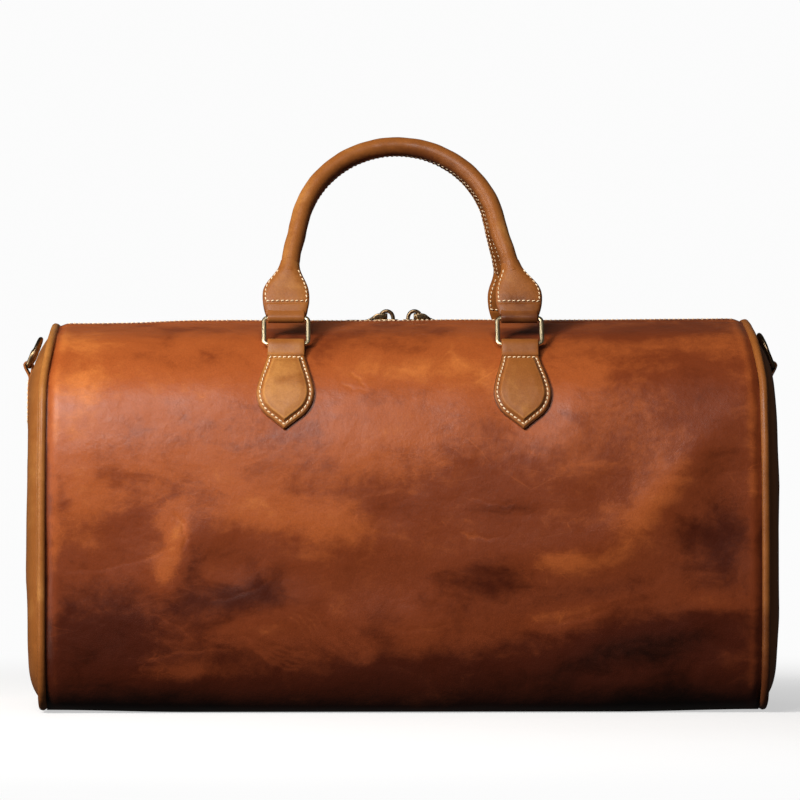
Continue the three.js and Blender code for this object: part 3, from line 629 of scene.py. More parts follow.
# Creases and rubbed lines: from x, z to x, z, bow, half width, depth of the fold, paleness.
CREASES = [
    (-0.242, 0.099, -0.149, 0.121, 0.006, 0.0010, 0.00012, 0.32),
    (-0.142, 0.078, -0.086, 0.097, 0.004, 0.0010, 0.00012, 0.32),
    (-0.190, 0.034, -0.114, 0.045, -0.004, 0.0010, 0.00012, 0.40),
    (-0.182, 0.072, -0.140, 0.046, -0.004, 0.0009, 0.00010, 0.25),
    (-0.162, 0.142, -0.153, 0.112, -0.005, 0.0016, 0.0005, 0.22),
    (0.044, 0.152, 0.080, 0.146, 0.003, 0.0010, 0.00018, 0.45),
    (0.034, 0.128, 0.070, 0.123, 0.003, 0.0010, 0.00018, 0.40),
    (-0.046, 0.232, -0.020, 0.226, 0.004, 0.0010, 0.00018, 0.30),
    (-0.040, 0.238, -0.026, 0.222, -0.003, 0.0010, 0.00018, 0.30),
    (-0.014, 0.060, 0.040, 0.066, 0.004, 0.0011, 0.00015, 0.25),
    (0.090, 0.062, 0.150, 0.078, 0.004, 0.0012, 0.0002, 0.22),
    (-0.236, 0.018, -0.180, 0.026, 0.003, 0.0011, 0.00015, 0.22),
]

# A fan of fine folds, low on the bag's left: long ones below, and short ones that curl round to their right.
for k in range(5):
    start, end = (-0.119 + 0.004 * k, 0.059 - 0.0036 * k), (-0.060 - 0.002 * k, 0.043 - 0.0030 * k)
    CREASES.append((*start, *end, 0.004, 0.0011, 0.00012, 0.42))
for k in range(4):
    start, end = (-0.092 + 0.004 * k, 0.074 + 0.001 * k), (-0.066 + 0.004 * k, 0.047 + 0.002 * k)
    CREASES.append((*start, *end, -0.006, 0.0011, 0.00012, 0.40))


# Where the stuffed front stands out or dips: x, z, half length, half height, tilt in degrees, how far out.
SWELLS = [
    (0.190, 0.168, 0.078, 0.017, 46, 0.0024),
    (0.226, 0.135, 0.060, 0.032, 55, -0.0022),
    (-0.150, 0.120, 0.034, 0.020, 40, 0.0020),
    (-0.200, 0.110, 0.030, 0.045, 0, -0.0022),
    (-0.030, 0.090, 0.090, 0.020, -6, -0.0022),
    (0.110, 0.112, 0.060, 0.016, 8, 0.0018),
    (0.050, 0.235, 0.090, 0.016, 3, -0.0016),
]


def oval(x, z, patch):
    """1 in the middle of a tilted oval, fading to 0."""
    cx, cz, long, high, tilt = patch[:5]
    c, s = math.cos(math.radians(tilt)), math.sin(math.radians(tilt))
    u, v = ((x - cx) * c + (z - cz) * s) / long, (-(x - cx) * s + (z - cz) * c) / high
    return np.exp(-(u * u + v * v))


def crease_at(x, z, crease):
    """1 on the line of a crease, fading to its sides and its ends."""
    ax, az, bx, bz, bow, width = crease[:6]
    dx, dz = bx - ax, bz - az
    long = math.hypot(dx, dz)
    t = ((x - ax) * dx + (z - az) * dz) / long**2
    side = ((x - ax) * dz - (z - az) * dx) / long - bow * np.clip(t * (1 - t), 0, 1) * 4
    side = side + 0.0006 * np.sin(t * 19 + ax * 500)
    ends = smoothstep(t, 0, 0.2) * (1 - smoothstep(t, 0.75, 1))
    return np.exp(-((side / width) ** 2)) * ends


def leather_relief(x, distance, seed):
    """How far the leather stands out from its plain profile."""
    z = height_at(distance)
    share = np.abs(x) / seam_x(z)
    low = 1 - smoothstep(distance, FOLD - 0.05, FOLD)
    out = 0.0022 * (1 - share**6) * smoothstep(distance, 0.01, 0.10) * low
    out = out + 0.0026 * cloud(x, z, seed, 0.13) * low * (1 - share**8)
    out = out + 0.0010 * cloud(x, z, seed + 5, 0.045, 2) * low * (1 - smoothstep(z, 0.10, 0.20) * 0.6)
    out = out + sum(swell[5] * oval(x, z, swell) for swell in SWELLS)
    near_chape = ((np.abs(x) - RING_X) / 0.034) ** 2 + ((distance - RING_DISTANCE + 0.022) / 0.052) ** 2
    out = out * (1 - np.exp(-(near_chape**2)))
    for crease in CREASES:
        out = out - crease[6] * crease_at(x, z, crease)
    out = out + 0.0005 * smoothstep(distance, LENGTH - HEM - 0.0015, LENGTH - HEM)
    out = out + 0.0007 * cloud(x, 0 * x, seed + 9, 0.06, 2) * smoothstep(distance, FOLD, LENGTH)
    edge = (seam_x(z) - np.abs(x)) / 0.0042
    return (out - 0.0021 * np.exp(-edge * edge)) * smoothstep(distance, 0, 0.02)


def leather_colour(x, distance):
    """Tone and paleness of the leather at each point; the tone holds painted light and shade as well as the leather's
    own colour.
    """
    z = height_at(distance)
    tone = sum(patch[5] * oval(x, z, patch) for patch in TONE_AND_SHADE_PATCHES)
    # Painted shade: darker towards the bottom, where the leather turns under (partly its own burnish), and darker
    # towards the right, away from the light.
    tone = tone - 0.22 * (1 - smoothstep(z, 0.0, 0.125)) - 0.07 * smoothstep(x, -0.02, 0.20)
    tone = tone - 0.07 * (1 - smoothstep(z, 0.105, 0.165))
    # Painted shade in the gap inside each handle ring, where the ring and its strap shade the leather.
    ring_gap_shade = ((np.abs(x) - RING_X) / 0.0165) ** 4 + ((distance - RING_DISTANCE - 0.019) / 0.017) ** 4
    tone = tone - 0.24 * np.exp(-ring_gap_shade)
    # Painted shade along the bottom edge, with less of it in the middle.
    tone = tone - (0.16 - 0.15 * np.exp(-((x / 0.13) ** 2))) * (1 - smoothstep(z, 0.0, 0.030))
    # Painted shade where the panel turns into the end seam, and a paler band just inside it.
    edge = seam_x(z) - np.abs(x)
    tone = tone - 0.12 * (1 - smoothstep(edge, 0.0, 0.004)) + 0.06 * np.exp(-(((edge - 0.007) / 0.003) ** 2))
    tone = tone + 0.05 * np.exp(-(((distance - FOLD) / 0.012) ** 2))
    tone = tone - 0.10 * smoothstep(distance, LENGTH - 0.004, LENGTH)
    scuff = sum(crease[7] * crease_at(x, z, crease) for crease in CREASES)
    return tone, np.clip(scuff, 0, 1)


def body_panel(side, seed):
    """The leather of one side, from the base to the folded edge beside the zip, with its thickness."""
    turn = side == "back"
    outside = np.linspace(0, LENGTH - EDGE_R, OUTSIDE_ROWS)
    nose = np.linspace(0, math.pi, 7)[1:-1]
    inside = np.linspace(LENGTH - EDGE_R, 0, INSIDE_ROWS)
    distance = np.concatenate([outside, LENGTH - EDGE_R + EDGE_R * np.sin(nose), inside])
    depth = np.concatenate([0 * outside, EDGE_R * (np.cos(nose) - 1), 0 * inside - LEATHER])
    share = np.linspace(-1, 1, ACROSS)
    share = np.sign(share) * (1 - (1 - np.abs(share)) ** 1.15)
    share, distance = np.meshgrid(share, distance, indexing="ij")
    x = share * seam_x(height_at(distance))
    relief = leather_relief(x, distance, seed)
    points = surface(x, distance, depth[None, :] + relief)
    shape = Shape()
    shape.loft(points)
    panel = shape.build("body_panel_" + side, turn)
    tone, scuff = leather_colour(x, distance)
    paint(panel, tone=tone, scuff=scuff)
    rise = smoothstep(distance, FOLD, LENGTH)
    follow_mouth(panel, rise * mouth_weight(x))
    return finish_piece(panel, BODY, replaced=(side + "_panel", side + "_panel_mouth_flap"))


def hem_stitching(side, seed):
    """The stitches along the leather edge beside the zip."""
    shape = Shape()
    x = np.linspace(-0.238, 0.238, 400)
    distance = np.full_like(x, LENGTH - 0.0032)
    relief = leather_relief(x, distance, seed)
    path = surface(x, distance, relief + 0.0001)
    normals = surface(x, distance, relief + 0.001) - path
    stitches(shape, path, normals, size=0.8)
    rows = shape.build("hem_stitching_" + side, side == "back")
    follow_mouth(rows, mouth_weight(np.vstack(shape.points)[:, 0]))
    return finish_piece(rows, THREAD)


SEEDS = {"front": 21, "back": 57}
for side, seed in SEEDS.items():
    body_panel(side, seed)
    hem_stitching(side, seed)

# ---------- base, linings ----------


def slab(node, name, look, sag=0.0):
    """A flat sheet of a node's size, with rounded edges and a little unevenness below."""
    (_, _, low), (half_x, half_y, high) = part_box(node)
    nx, ny, edge = 90, 40, 0.0008
    xs, ys = np.linspace(-half_x, half_x, nx), np.linspace(-half_y, half_y, ny)
    x, y = np.meshgrid(xs, ys, indexing="ij")
    dip = edge * (1 - smoothstep(half_x - np.abs(x), 0, edge * 3) * smoothstep(half_y - np.abs(y), 0, edge * 3))
    lift = sag * (0.5 + 0.5 * cloud(x, y, 77, 0.11)) * smoothstep(half_y - np.abs(y), 0, 0.02)
    top = np.stack([x, y, high - dip * 0.6], -1)
    bottom = np.stack([x, y, low + dip * 0.6 + lift], -1)
    shape = Shape()
    shape.loft([np.concatenate([top[i], bottom[i][::-1]]) for i in range(nx)])
    made = shape.build(name)
    rim = 1 - smoothstep(np.minimum(half_x - np.abs(x), half_y - np.abs(y)), 0.0, 0.006)
    rim = np.concatenate([rim, rim[:, ::-1]], 1)
    paint(made, tone=-0.06 * rim, scuff=0.25 * rim)
    finish_piece(made, look, "bag", (node,))


slab("base_panel", "base_leather", BASE, sag=0.0007)
slab("base_board", "base_stiffener", BOARD)
slab("lining_base", "lining_floor", LINING_CLOTH)


def side_lining(side):
    """The cotton inside one side, sewn in at the zip."""
    nx, ns = 90, 80
    start, end = float(ALONG[100]), LENGTH - 0.004
    distance = np.linspace(start, end, ns)
    drop = LEATHER + GAP + (TAPE + GAP) * smoothstep(distance, FOLD - 0.01, FOLD + 0.01)
    share = np.linspace(-1, 1, nx)
    share, distance = np.meshgrid(share, distance, indexing="ij")
    x = share * (seam_x(height_at(distance)) - 0.003)
    wrinkle = 0.0011 * (1 + cloud(x, distance, 91, 0.05)) * (1 - share**4)
    wrinkle = wrinkle * smoothstep(distance, start, start + 0.03)
    out = np.minimum(leather_relief(x, distance, SEEDS[side]), 0) - drop[None, :] - wrinkle - 0.0002
    outer, inner = surface(x, distance, out), surface(x, distance, out - LINING)
    shape = Shape()
    shape.loft(np.concatenate([outer, inner[:, ::-1]], 1))
    made = shape.build("lining_side_" + side, side == "back")
    rise = smoothstep(distance, FOLD, LENGTH) * mouth_weight(x)
    follow_mouth(made, np.concatenate([rise, rise[:, ::-1]], 1))
    return finish_piece(made, LINING_CLOTH, replaced=("lining_" + side, "lining_mouth_" + side))


for side in SEEDS:
    side_lining(side)

# ---------- the ends ----------

ROUND = 260  # points round an end
END_RINGS = 44
END_SEED = 33


def end_outline(inset, floor, count):
    """Evenly spaced points round an end, moved in from the surface: y, z and the way out."""
    half, z, out_half, out_z = profile_at(np.linspace(0, LENGTH, 500))
    y, z = half - out_half * inset, np.maximum(z - out_z * inset, floor)
    near = np.stack([-y, z, -out_half, out_z], 1)
    far = np.stack([y, z, out_half, out_z], 1)[::-1]
    base = np.linspace(0.9, -0.9, 15)[:, None] * [BASE_HALF, 0, 0, 0] + [0, z[0], 0, -1]
    path = spaced(np.vstack([near, far, base]), count, closed=True)
    path[:, 2:] = unit(path[:, 2:])
    return path


def end_lift(share):
    return END_BULGE * (1 - share**BULGE_POWER)


def end_relief(y, z, seed):
    return 0.0016 * cloud(y, z, seed, 0.09) + 0.0006 * cloud(y, z, seed + 3, 0.03, 2)


def end_shell(inset, depth, thickness, seed, floor):
    """A domed sheet that closes an end, drawn at +X, as rings from its inside to its outside."""
    outline = end_outline(inset, floor, ROUND)
    shares = np.linspace(1, 0.03, END_RINGS) ** 0.75

    def ring(share, down):
        y = outline[:, 0] * share
        z = END_CENTRE_Z + (outline[:, 1] - END_CENTRE_Z) * share
        loose = end_relief(y, z, seed) * (1 - share**6)
        x = seam_x(z) + LEATHER + GAP + end_lift(share) + loose - down
        return np.stack([x, y, z], 1)

    roll = [(1 - 0.010 * k, 0.0009 * (1 - math.sin(k * math.pi / 6))) for k in range(3)]
    outer = [ring(shares[0] * s, depth + d) for s, d in roll] + [ring(s, depth) for s in shares[1:]]
    inner = [ring(s, depth + thickness) for s in shares[::2][::-1]]
    return np.array(inner + outer)


def end_piece(name, end, inset, depth, thickness, look, node, floor):
    rows = end_shell(inset, depth, thickness, END_SEED, floor)
    shape = Shape()
    shape.loft(rows)
    made = shape.build(name, end == "left")
    y, z = rows[..., 1], rows[..., 2]
    rim = np.maximum(np.abs(y) / 0.118, np.abs((z - END_CENTRE_Z) / 0.137))
    # Painted light and shade: the end is lighter towards its top and darker towards the floor.
    tone = 0.05 * smoothstep(z, 0.12, 0.24) - 0.14 * (1 - smoothstep(z, 0.0, 0.08))
    tone = tone - 0.10 * smoothstep(rim, 0.90, 0.99)
    paint(made, tone=tone, scuff=0.25 * smoothstep(rim, 0.93, 0.97) * (z > 0.02))
    finish_piece(made, look, "bag", (node,))


def piping(end):
    """The leather roll along an end seam, with its filler."""
    turn = end == "left"
    centre = end_outline(0.0012, 0.0028, 420)
    x = seam_x(centre[:, 1]) + GAP + 0.0022
    along = np.linspace(0, 1, len(centre), endpoint=False)
    wave = 1 + 0.030 * cloud(along * 3, along * 0, 15, 0.05, 2)
    angles = round_angles(18)
    sections, core = [], []
    for k, (y, z, out_y, out_z) in enumerate(centre):
        drop = 0.0016 * smoothstep(z, 0.255, 0.270)
        for rows, r in ((sections, 0.0029 * wave[k]), (core, 0.0009)):
            out, side = np.cos(angles) * r, np.sin(angles) * r
            rows.append(np.stack([x[k] + side, y + out_y * out, z + out_z * out - drop], 1))
    shape = Shape()
    shape.loft(sections, closed=True)
    roll = shape.build("piping_roll_" + end, turn)
    points = np.vstack(shape.points)
    # Painted light and shade: the roll is darker low down and lighter high up, and the left roll is lighter than the
    # right.
    tone = -0.16 * (1 - smoothstep(points[:, 2], 0.0, 0.10)) + 0.05 * smoothstep(points[:, 2], 0.15, 0.26)
    paint(roll, tone=tone + (0.05 if turn else -0.08), scuff=0 * tone)
    finish_piece(roll, PIPING, "bag", ("piping_" + end,))
    inner = Shape()
    inner.loft(core, closed=True)
    filler = inner.build("piping_filler_" + end, turn)
    finish_piece(filler, FILLER, "bag", ("piping_cord_" + end,))


for end in ("left", "right"):
    end_piece("end_leather_" + end, end, 0.0040, 0.0, LEATHER, END, "end_panel_" + end, 0.0056)
    down = LEATHER + 2 * GAP
    end_piece("lining_of_end_" + end, end, 0.0046, down, LINING, LINING_CLOTH, "lining_end_" + end, 0.0062)
    piping(end)

# ---------- leather tabs that hold a bar ----------

LOOP_MIDDLE = 0.0027  # from the middle of a bar to the middle of the leather round it
PLY = 0.0017


def sheet_path(shape, centre_line, half_width, across, thickness):
    """A strap along a path of points, with rounded edges. half_width is a number or one for each point."""
    path = np.asarray(centre_line, float)
    up = np.cross(ahead_of(path), across)
    widths = np.broadcast_to(half_width, len(path))
    r = thickness / 2
    corner = np.linspace(0, math.pi, 7)
    sections = []
    for point, normal, half in zip(path, up, widths):
        flat = np.linspace(-1, 1, 9) * (half - r)
        top = [(t, r) for t in flat]
        right = [(half - r + r * math.sin(a), r * math.cos(a)) for a in corner[1:-1]]
        bottom = [(t, -r) for t in flat[::-1]]
        left = [(-half + r - r * math.sin(a), -r * math.cos(a)) for a in corner[1:-1]]
        ring = [point + across * t + normal * w for t, w in top + right + bottom + left]
        sections.append(ring)
    shape.loft(sections)


def loop_line(place, front_end, back_end, front_height, back_height):
    """A path from the front ply, round the bar and down behind.

    place(s, offset) is a point at a distance below the bar, moved out by the offset.
    """
    rows = []
    for s in np.linspace(front_end, 0, 16)[:-1]:
        rise = 1 - float(smoothstep(s, 0, front_end))
        rows.append(place(s, front_height + (BAR_STANDOFF + LOOP_MIDDLE - front_height) * rise))
    for angle in np.linspace(0, math.pi, 15):
        rows.append(place(-LOOP_MIDDLE * math.sin(angle), BAR_STANDOFF + LOOP_MIDDLE * math.cos(angle)))
    for s in np.linspace(0, back_end, 10)[1:]:
        rise = 1 - float(smoothstep(s, 0, 0.008))
        rows.append(place(s, back_height + (BAR_STANDOFF - LOOP_MIDDLE - back_height) * rise))
    return np.array(rows)


# Outline of the chape: distance below the bar, half width.
CHAPE_OUTLINE = spline(
    [(0.0095, 0.0130), (0.014, 0.0138), (0.021, 0.0156), (0.030, 0.0182), (0.0405, 0.0201), (0.049, 0.0184),
     (0.0555, 0.0142), (0.0605, 0.0082), (0.0645, 0.0032), (0.0668, 0.0006)], 160)
CHAPE_TOP, CHAPE_TIP = CHAPE_OUTLINE[0, 0], CHAPE_OUTLINE[-1, 0]
EDGE_HEIGHT = 0.0034  # of the chape's face above the leather of the bag
PAD_HEIGHT = 0.0020  # of its raised middle above that face
STITCH_INSET = 0.0025
PAD_INSET = 0.0047
CHAPE_SPLAY = 0.022  # how far a chape leans away from the middle on the way down


def chape_half(s):
    return np.interp(s, CHAPE_OUTLINE[:, 0], CHAPE_OUTLINE[:, 1])


def rim_distance(s, t):
    """Distance of a point of the chape from its edge."""
    edge = np.vstack([CHAPE_OUTLINE * [1, -1], CHAPE_OUTLINE[::-1]])
    top = np.stack([np.full(30, CHAPE_TOP), np.linspace(-1, 1, 30) * CHAPE_OUTLINE[0, 1]], 1)
    edge = np.vstack([edge, top])
    s, t = np.asarray(s, float), np.asarray(t, float)
    return np.sqrt(((s[..., None] - edge[:, 0]) ** 2 + (t[..., None] - edge[:, 1]) ** 2).min(-1))


def bump(value, middle, width):
    """1 at the middle, fading to both sides."""
    return np.exp(-(((value - middle) / width) ** 2))


def splay(x, s):
    return math.copysign(CHAPE_SPLAY, x) * np.maximum(s - CHAPE_TOP, 0)


def chape_shield(shape, x, seed):
    """Adds the shield, ring by ring down the bag. Gives each point's distance from its rim, 0 on its underside."""
    rows, columns = 120, 61
    s = np.linspace(CHAPE_TOP, CHAPE_TIP, rows)[:, None]
    t = np.sin(np.linspace(-1, 1, columns) * math.pi / 2)[None, :] * chape_half(s)
    s = np.broadcast_to(s, t.shape)
    rim = rim_distance(s, t)
    top = EDGE_HEIGHT - 0.0011 * bump(rim, 0, 0.0008) - 0.0003 * bump(rim, STITCH_INSET, 0.0006)
    pad = smoothstep(rim, PAD_INSET - 0.0011, PAD_INSET + 0.0004)
    top = top + pad * (PAD_HEIGHT + 0.0004 * smoothstep(rim, PAD_INSET, PAD_INSET + 0.006))
    across, distance = x + t, RING_DISTANCE - s
    base = leather_relief(across, distance, seed)
    part = lambda pick, out: surface(across[:, pick], distance[:, pick], base[:, pick] + out)
    upper = surface(across, distance, base + top)
    left, right = part(slice(0, 1), 0.0013), part(slice(-1, None), 0.0013)
    rings = np.concatenate([upper, right, part(slice(None, None, 4), 0.0003)[:, ::-1], left], 1)
    rings[..., 0] += splay(x, s[:, :1])
    shape.loft(rings)
    return np.concatenate([rim, np.zeros((rows, rings.shape[1] - columns))], 1).ravel()


def chape(side, name, x, seed):
    """The padded shield sewn to the bag, the loop that holds the handle ring, and their stitches."""
    turn = side == "back"
    shape = Shape()
    rim = chape_shield(shape, x, seed)
    line = loop_line(lambda s, out: surface(x, RING_DISTANCE - s, out), 0.0102, 0.030, 0.0030, 0.00125)
    sheet_path(shape, line, STRAP_HALF, np.array([1.0, 0, 0]), PLY)
    made = shape.build(f"chape_leather_{side}_{name}", turn)
    tone, scuff = np.zeros(shape.count), np.zeros(shape.count)
    # Painted shade in the grooves at the foot of the raised middle and along the stitch line.
    groove_shade = 0.10 * bump(rim, PAD_INSET - 0.0010, 0.0007) + 0.04 * bump(rim, STITCH_INSET, 0.0007)
    tone[:len(rim)] = 0.05 * smoothstep(rim, 0.005, 0.010) - 0.20 * bump(rim, 0, 0.0009) - groove_shade
    scuff[:len(rim)] = 0.7 * bump(rim, PAD_INSET + 0.0007, 0.0006) + 0.4 * bump(rim, 0.0013, 0.0006)
    # Painted light and shade: the left chapes are lighter, towards the light, and the right ones darker.
    side_light_and_shade = {"left": 0.08, "right": -0.09}[name]
    paint(made, tone=tone + side_light_and_shade, scuff=scuff)
    finish_piece(made, TRIM, "bag", (f"chape_{side}_{name}",))
    s, t = inset_outline(STITCH_INSET).T
    relief = leather_relief(x + t, RING_DISTANCE - s, seed)
    path, above = (surface(x + t, RING_DISTANCE - s, relief + EDGE_HEIGHT + out) for out in (-0.0001, 0.001))
    path[:, 0] += splay(x, s)
    above[:, 0] += splay(x, s)
    thread_row = Shape()
    stitches(thread_row, path, above - path)
    finish_piece(thread_row.build(f"chape_stitching_{side}_{name}", turn), THREAD, "bag")
    chape_pad(side, name, x)


def inset_outline(inset):
    """The chape's outline moved in, as a closed path of distance below the bar and offset across."""
    ahead = ahead_of(CHAPE_OUTLINE)
    line = CHAPE_OUTLINE + ahead[:, ::-1] * [1, -1] * inset
    line = line[(line[:, 1] > 0.0002) & (line[:, 0] > CHAPE_TOP + inset)]
    tip = [[line[-1, 0] + 0.0006, 0.0]]
    corner = [[CHAPE_TOP + inset, line[0, 1]]]
    right = np.vstack([corner, line, tip])
    left = right[::-1] * [1, -1]
    return spaced(np.vstack([right, left[1:], corner]), 420)


def chape_pad(side, name, x):
    """The felt under the raised middle of the chape."""
    s = np.linspace(CHAPE_TOP + 0.006, CHAPE_TIP - 0.010, 24)[:, None]
    half = np.maximum(chape_half(s + 0.002) - 0.0070, 0.002)
    u = np.linspace(-1, 1, 13)[None, :]
    top = surface(x + u * half, RING_DISTANCE - s, 0.0024 + 0.0008 * (1 - u * u))
    low = surface(x + u[:, ::-1] * half, RING_DISTANCE - s, 0.0020)
    shape = Shape()
    shape.loft(np.concatenate([top, low], 1))
    pad = shape.build(f"chape_felt_{side}_{name}", side == "back")
    finish_piece(pad, FELT, "bag", (f"chape_padding_{side}_{name}",))


def node_side(side, x):
    """A group is drawn at the front, so the back's left piece is drawn at +X."""
    return ("left" if x < 0 else "right") if side == "front" else ("right" if x < 0 else "left")


for side, seed in SEEDS.items():
    for x in (-RING_X, RING_X):
        chape(side, node_side(side, x), x, seed)

# ---------- handle rings and handles ----------

LOWER_BAR = surface(0.0, RING_DISTANCE, BAR_STANDOFF)


def leaning(x, v, w):
    """x along the bag, v up the handle's leaning plane from the lower bar, w out of it to the front."""
    x, v, w = np.broadcast_arrays(x, v, w)
    y = LOWER_BAR[1] + v * math.sin(HANDLE_LEAN) - w * math.cos(HANDLE_LEAN)
    z = LOWER_BAR[2] + v * math.cos(HANDLE_LEAN) + w * math.sin(HANDLE_LEAN)
    return np.stack([x, y, z], -1)


def super_ring(half_wide, half_thick, power, sides=40):
    """Points round a section that is round at power 2 and squarer above it."""
    angles = round_angles(sides, 0.5)
    c, s = np.cos(angles), np.sin(angles)
    return np.sign(c) * np.abs(c) ** (2 / power) * half_wide, np.sign(s) * np.abs(s) ** (2 / power) * half_thick


def bent_bar(path, section, place):
    """A bar along a closed flat path. place(a, b, c) puts a point of the ring's own plane in the frame."""
    ahead = unit(np.roll(path, -1, 0) - np.roll(path, 1, 0))
    wide, deep = section
    return [place(a + db * wide, b - da * wide, deep) for (a, b), (da, db) in zip(path, ahead)]


def rounded_rectangle(width, height, radius):
    """A closed path round the middle of a rectangle with round corners, its lower side at 0."""
    corners = [(1, 0), (1, 1), (-1, 1), (-1, 0)]
    points = []
    for k, (side, top) in enumerate(corners):
        cx, cy = side * (width / 2 - radius), (height - radius) if top else radius
        for angle in np.linspace(k - 1, k, 9) * math.pi / 2:
            points.append((cx + radius * math.cos(angle), cy + radius * math.sin(angle)))
    return spaced(points, 160, closed=True)


def handle_ring(side, name, x):
    shape = Shape()
    section = super_ring(0.00165, 0.00125, 3.0, 16)
    path = rounded_rectangle(RING_WIDTH, RING_HEIGHT, 0.0030)
    shape.loft(bent_bar(path, section, lambda a, b, c: leaning(x + a, b, c)), closed=True)
    made = shape.build(f"ring_{side}_{name}", side == "back")
    finish_piece(made, BRASS, f"{side}_ring_{name}", (f"handle_ring_{side}_{name}",))


ARCH_HALF = 0.0712
ARCH_RISE = 0.0753
ARCH_V = 0.085
HANDLE_SKEW = {"front": -0.0026, "back": 0.0026}  # both soft arches lean a little to the bag's left

ARCH = [(ARCH_HALF * math.cos(a), ARCH_V + ARCH_RISE * math.sin(a)) for a in np.radians(np.linspace(10, 170, 17))]
LEG = [(0.0792, 0.056), (0.0778, 0.063), (0.0757, 0.0745), (0.0724, 0.0870)]
GRIP_SIDES = 36
GRIP_LINE = spline(LEG + ARCH + [(-x, v) for x, v in LEG[::-1]], 300)
GRIP_SEAM_TURN = 0.75  # the sewn seam turns towards the middle of the bag


def skewed(side, x, v):
    low, high = {"front": (0.030, 0.095), "back": (0.024, 0.070)}[side]
    return x + HANDLE_SKEW[side] * smoothstep(v, low, high)


# The foot between the round grip and its strap: height, x, half width, half thickness, squareness.
FOOT_ROWS = spline([
    (0.0660, 0.0777, 0.0066, 0.0065, 2.0), (0.0600, 0.0788, 0.0078, 0.0064, 2.0),
    (0.0545, 0.0800, 0.0104, 0.0060, 2.2), (0.0490, 0.0811, 0.0136, 0.0054, 2.5),
    (0.0440, 0.0818, 0.0157, 0.0048, 3.0), (0.0385, 0.0820, 0.0165, 0.0043, 3.6),
    (0.0330, 0.0820, 0.0163, 0.0037, 4.2), (0.0290, 0.0820, 0.0156, 0.0034, 4.5),
    (0.0255, 0.0820, 0.0147, 0.0030, 4.5), (0.0225, 0.0820, 0.0138, 0.0026, 4.5),
], 70)
FOOT_SEAM_V = 0.0335  # height of the seam across a foot


def foot_at(v, column):
    """A value of the foot's rows at a height."""
    return np.interp(-v, -FOOT_ROWS[:, 0], FOOT_ROWS[:, column])


def handle_foot(shape, side, side_sign):
    rows = []
    for v, x, half, thick, power in FOOT_ROWS:
        wide, deep = super_ring(half, thick, power)
        groove = 0.00025 * bump(v, FOOT_SEAM_V - 0.0022, 0.0007)
        rows.append(leaning(skewed(side, side_sign * x + wide, v), v, deep * (1 - groove / thick * 2)))
    shape.loft(rows)
    heights = np.linspace(0.0275, RING_HEIGHT + 0.001, 8)
    apart = LOOP_MIDDLE * (1 - 0.38 * smoothstep(heights, RING_HEIGHT, 0.0275))
    around = np.linspace(0, math.pi, 17)
    v = np.concatenate([heights, RING_HEIGHT - LOOP_MIDDLE * np.sin(around), heights[::-1]])
    w = np.concatenate([apart, LOOP_MIDDLE * np.cos(around), -apart[::-1]])
    sheet_path(shape, leaning(side_sign * RING_X, v, w), STRAP_HALF, np.array([1.0, 0, 0]), PLY)


def grip_rows(side, line, radii, angles):
    """Sections of the arch across its line, with a radius for each angle."""
    rows = []
    for (x, v), (dx, dv), radius in zip(line, ahead_of(line), radii):
        a, b = np.cos(angles) * radius, np.sin(angles) * radius
        rows.append(leaning(skewed(side, x + dv * a, v - dx * a), v - dx * a, b))
    return np.array(rows)


def handle_grip(shape, side):
    """The rolled leather of the arch: a tube with a sewn ridge along its inside."""
    angles = round_angles(GRIP_SIDES)
    k = np.arange(len(GRIP_LINE))[:, None]
    wobble = 1 + 0.012 * np.sin(k * 0.21) + 0.010 * np.sin(k * 0.47 + 1)
    ridge = 0.0004 * bump(angles, math.pi + GRIP_SEAM_TURN, 0.30)
    shape.loft(grip_rows(side, GRIP_LINE, GRIP_R * wobble + ridge, angles))


def surface_of_foot(side, side_sign, v, across, front):
    """A point on the front or back of a foot, at an offset across it, and one just above it."""
    x, half, thick, power = (foot_at(v, column) for column in (1, 2, 3, 4))
    share = min(abs(across) / half, 0.985)
    w = thick * (1 - share**power) ** (1 / power)
    place = lambda extra: leaning(float(skewed(side, side_sign * x + across, v)), v, front * (w + extra))
    return place(0.00005), place(0.001)


def foot_stitching(shape, side, side_sign):
    """Stitches round the edge of a foot: up one side, and across the bottom."""
    path = [(v, foot_at(v, 2) - 0.0021) for v in np.linspace(0.0575, FOOT_SEAM_V - 0.001, 30)]
    bottom = [(FOOT_SEAM_V - 0.001, u) for u in np.linspace(0.0130, -0.0130, 24)]
    left = [(v, -u) for v, u in path[::-1]]
    line = spaced(np.array(path + bottom[1:-1] + left), 260)
    for front in (1, -1):
        pairs = [surface_of_foot(side, side_sign, v, u, front) for v, u in line]
        points, above = (np.array(column) for column in zip(*pairs))
        stitches(shape, points, above - points, size=0.95)


def grip_stitching(shape, side):
    """Two close rows along the inside of the arch, either side of the sewn ridge."""
    line = GRIP_LINE[6:-6]
    for turn in (GRIP_SEAM_TURN + 0.20, GRIP_SEAM_TURN - 0.20):
        angle = np.array([math.pi + turn])
        path, above = (
            grip_rows(side, line, [GRIP_R + out] * len(line), angle)[:, 0] for out in (0.0001, 0.0011)
        )
        stitches(shape, path, above - path, size=0.85)


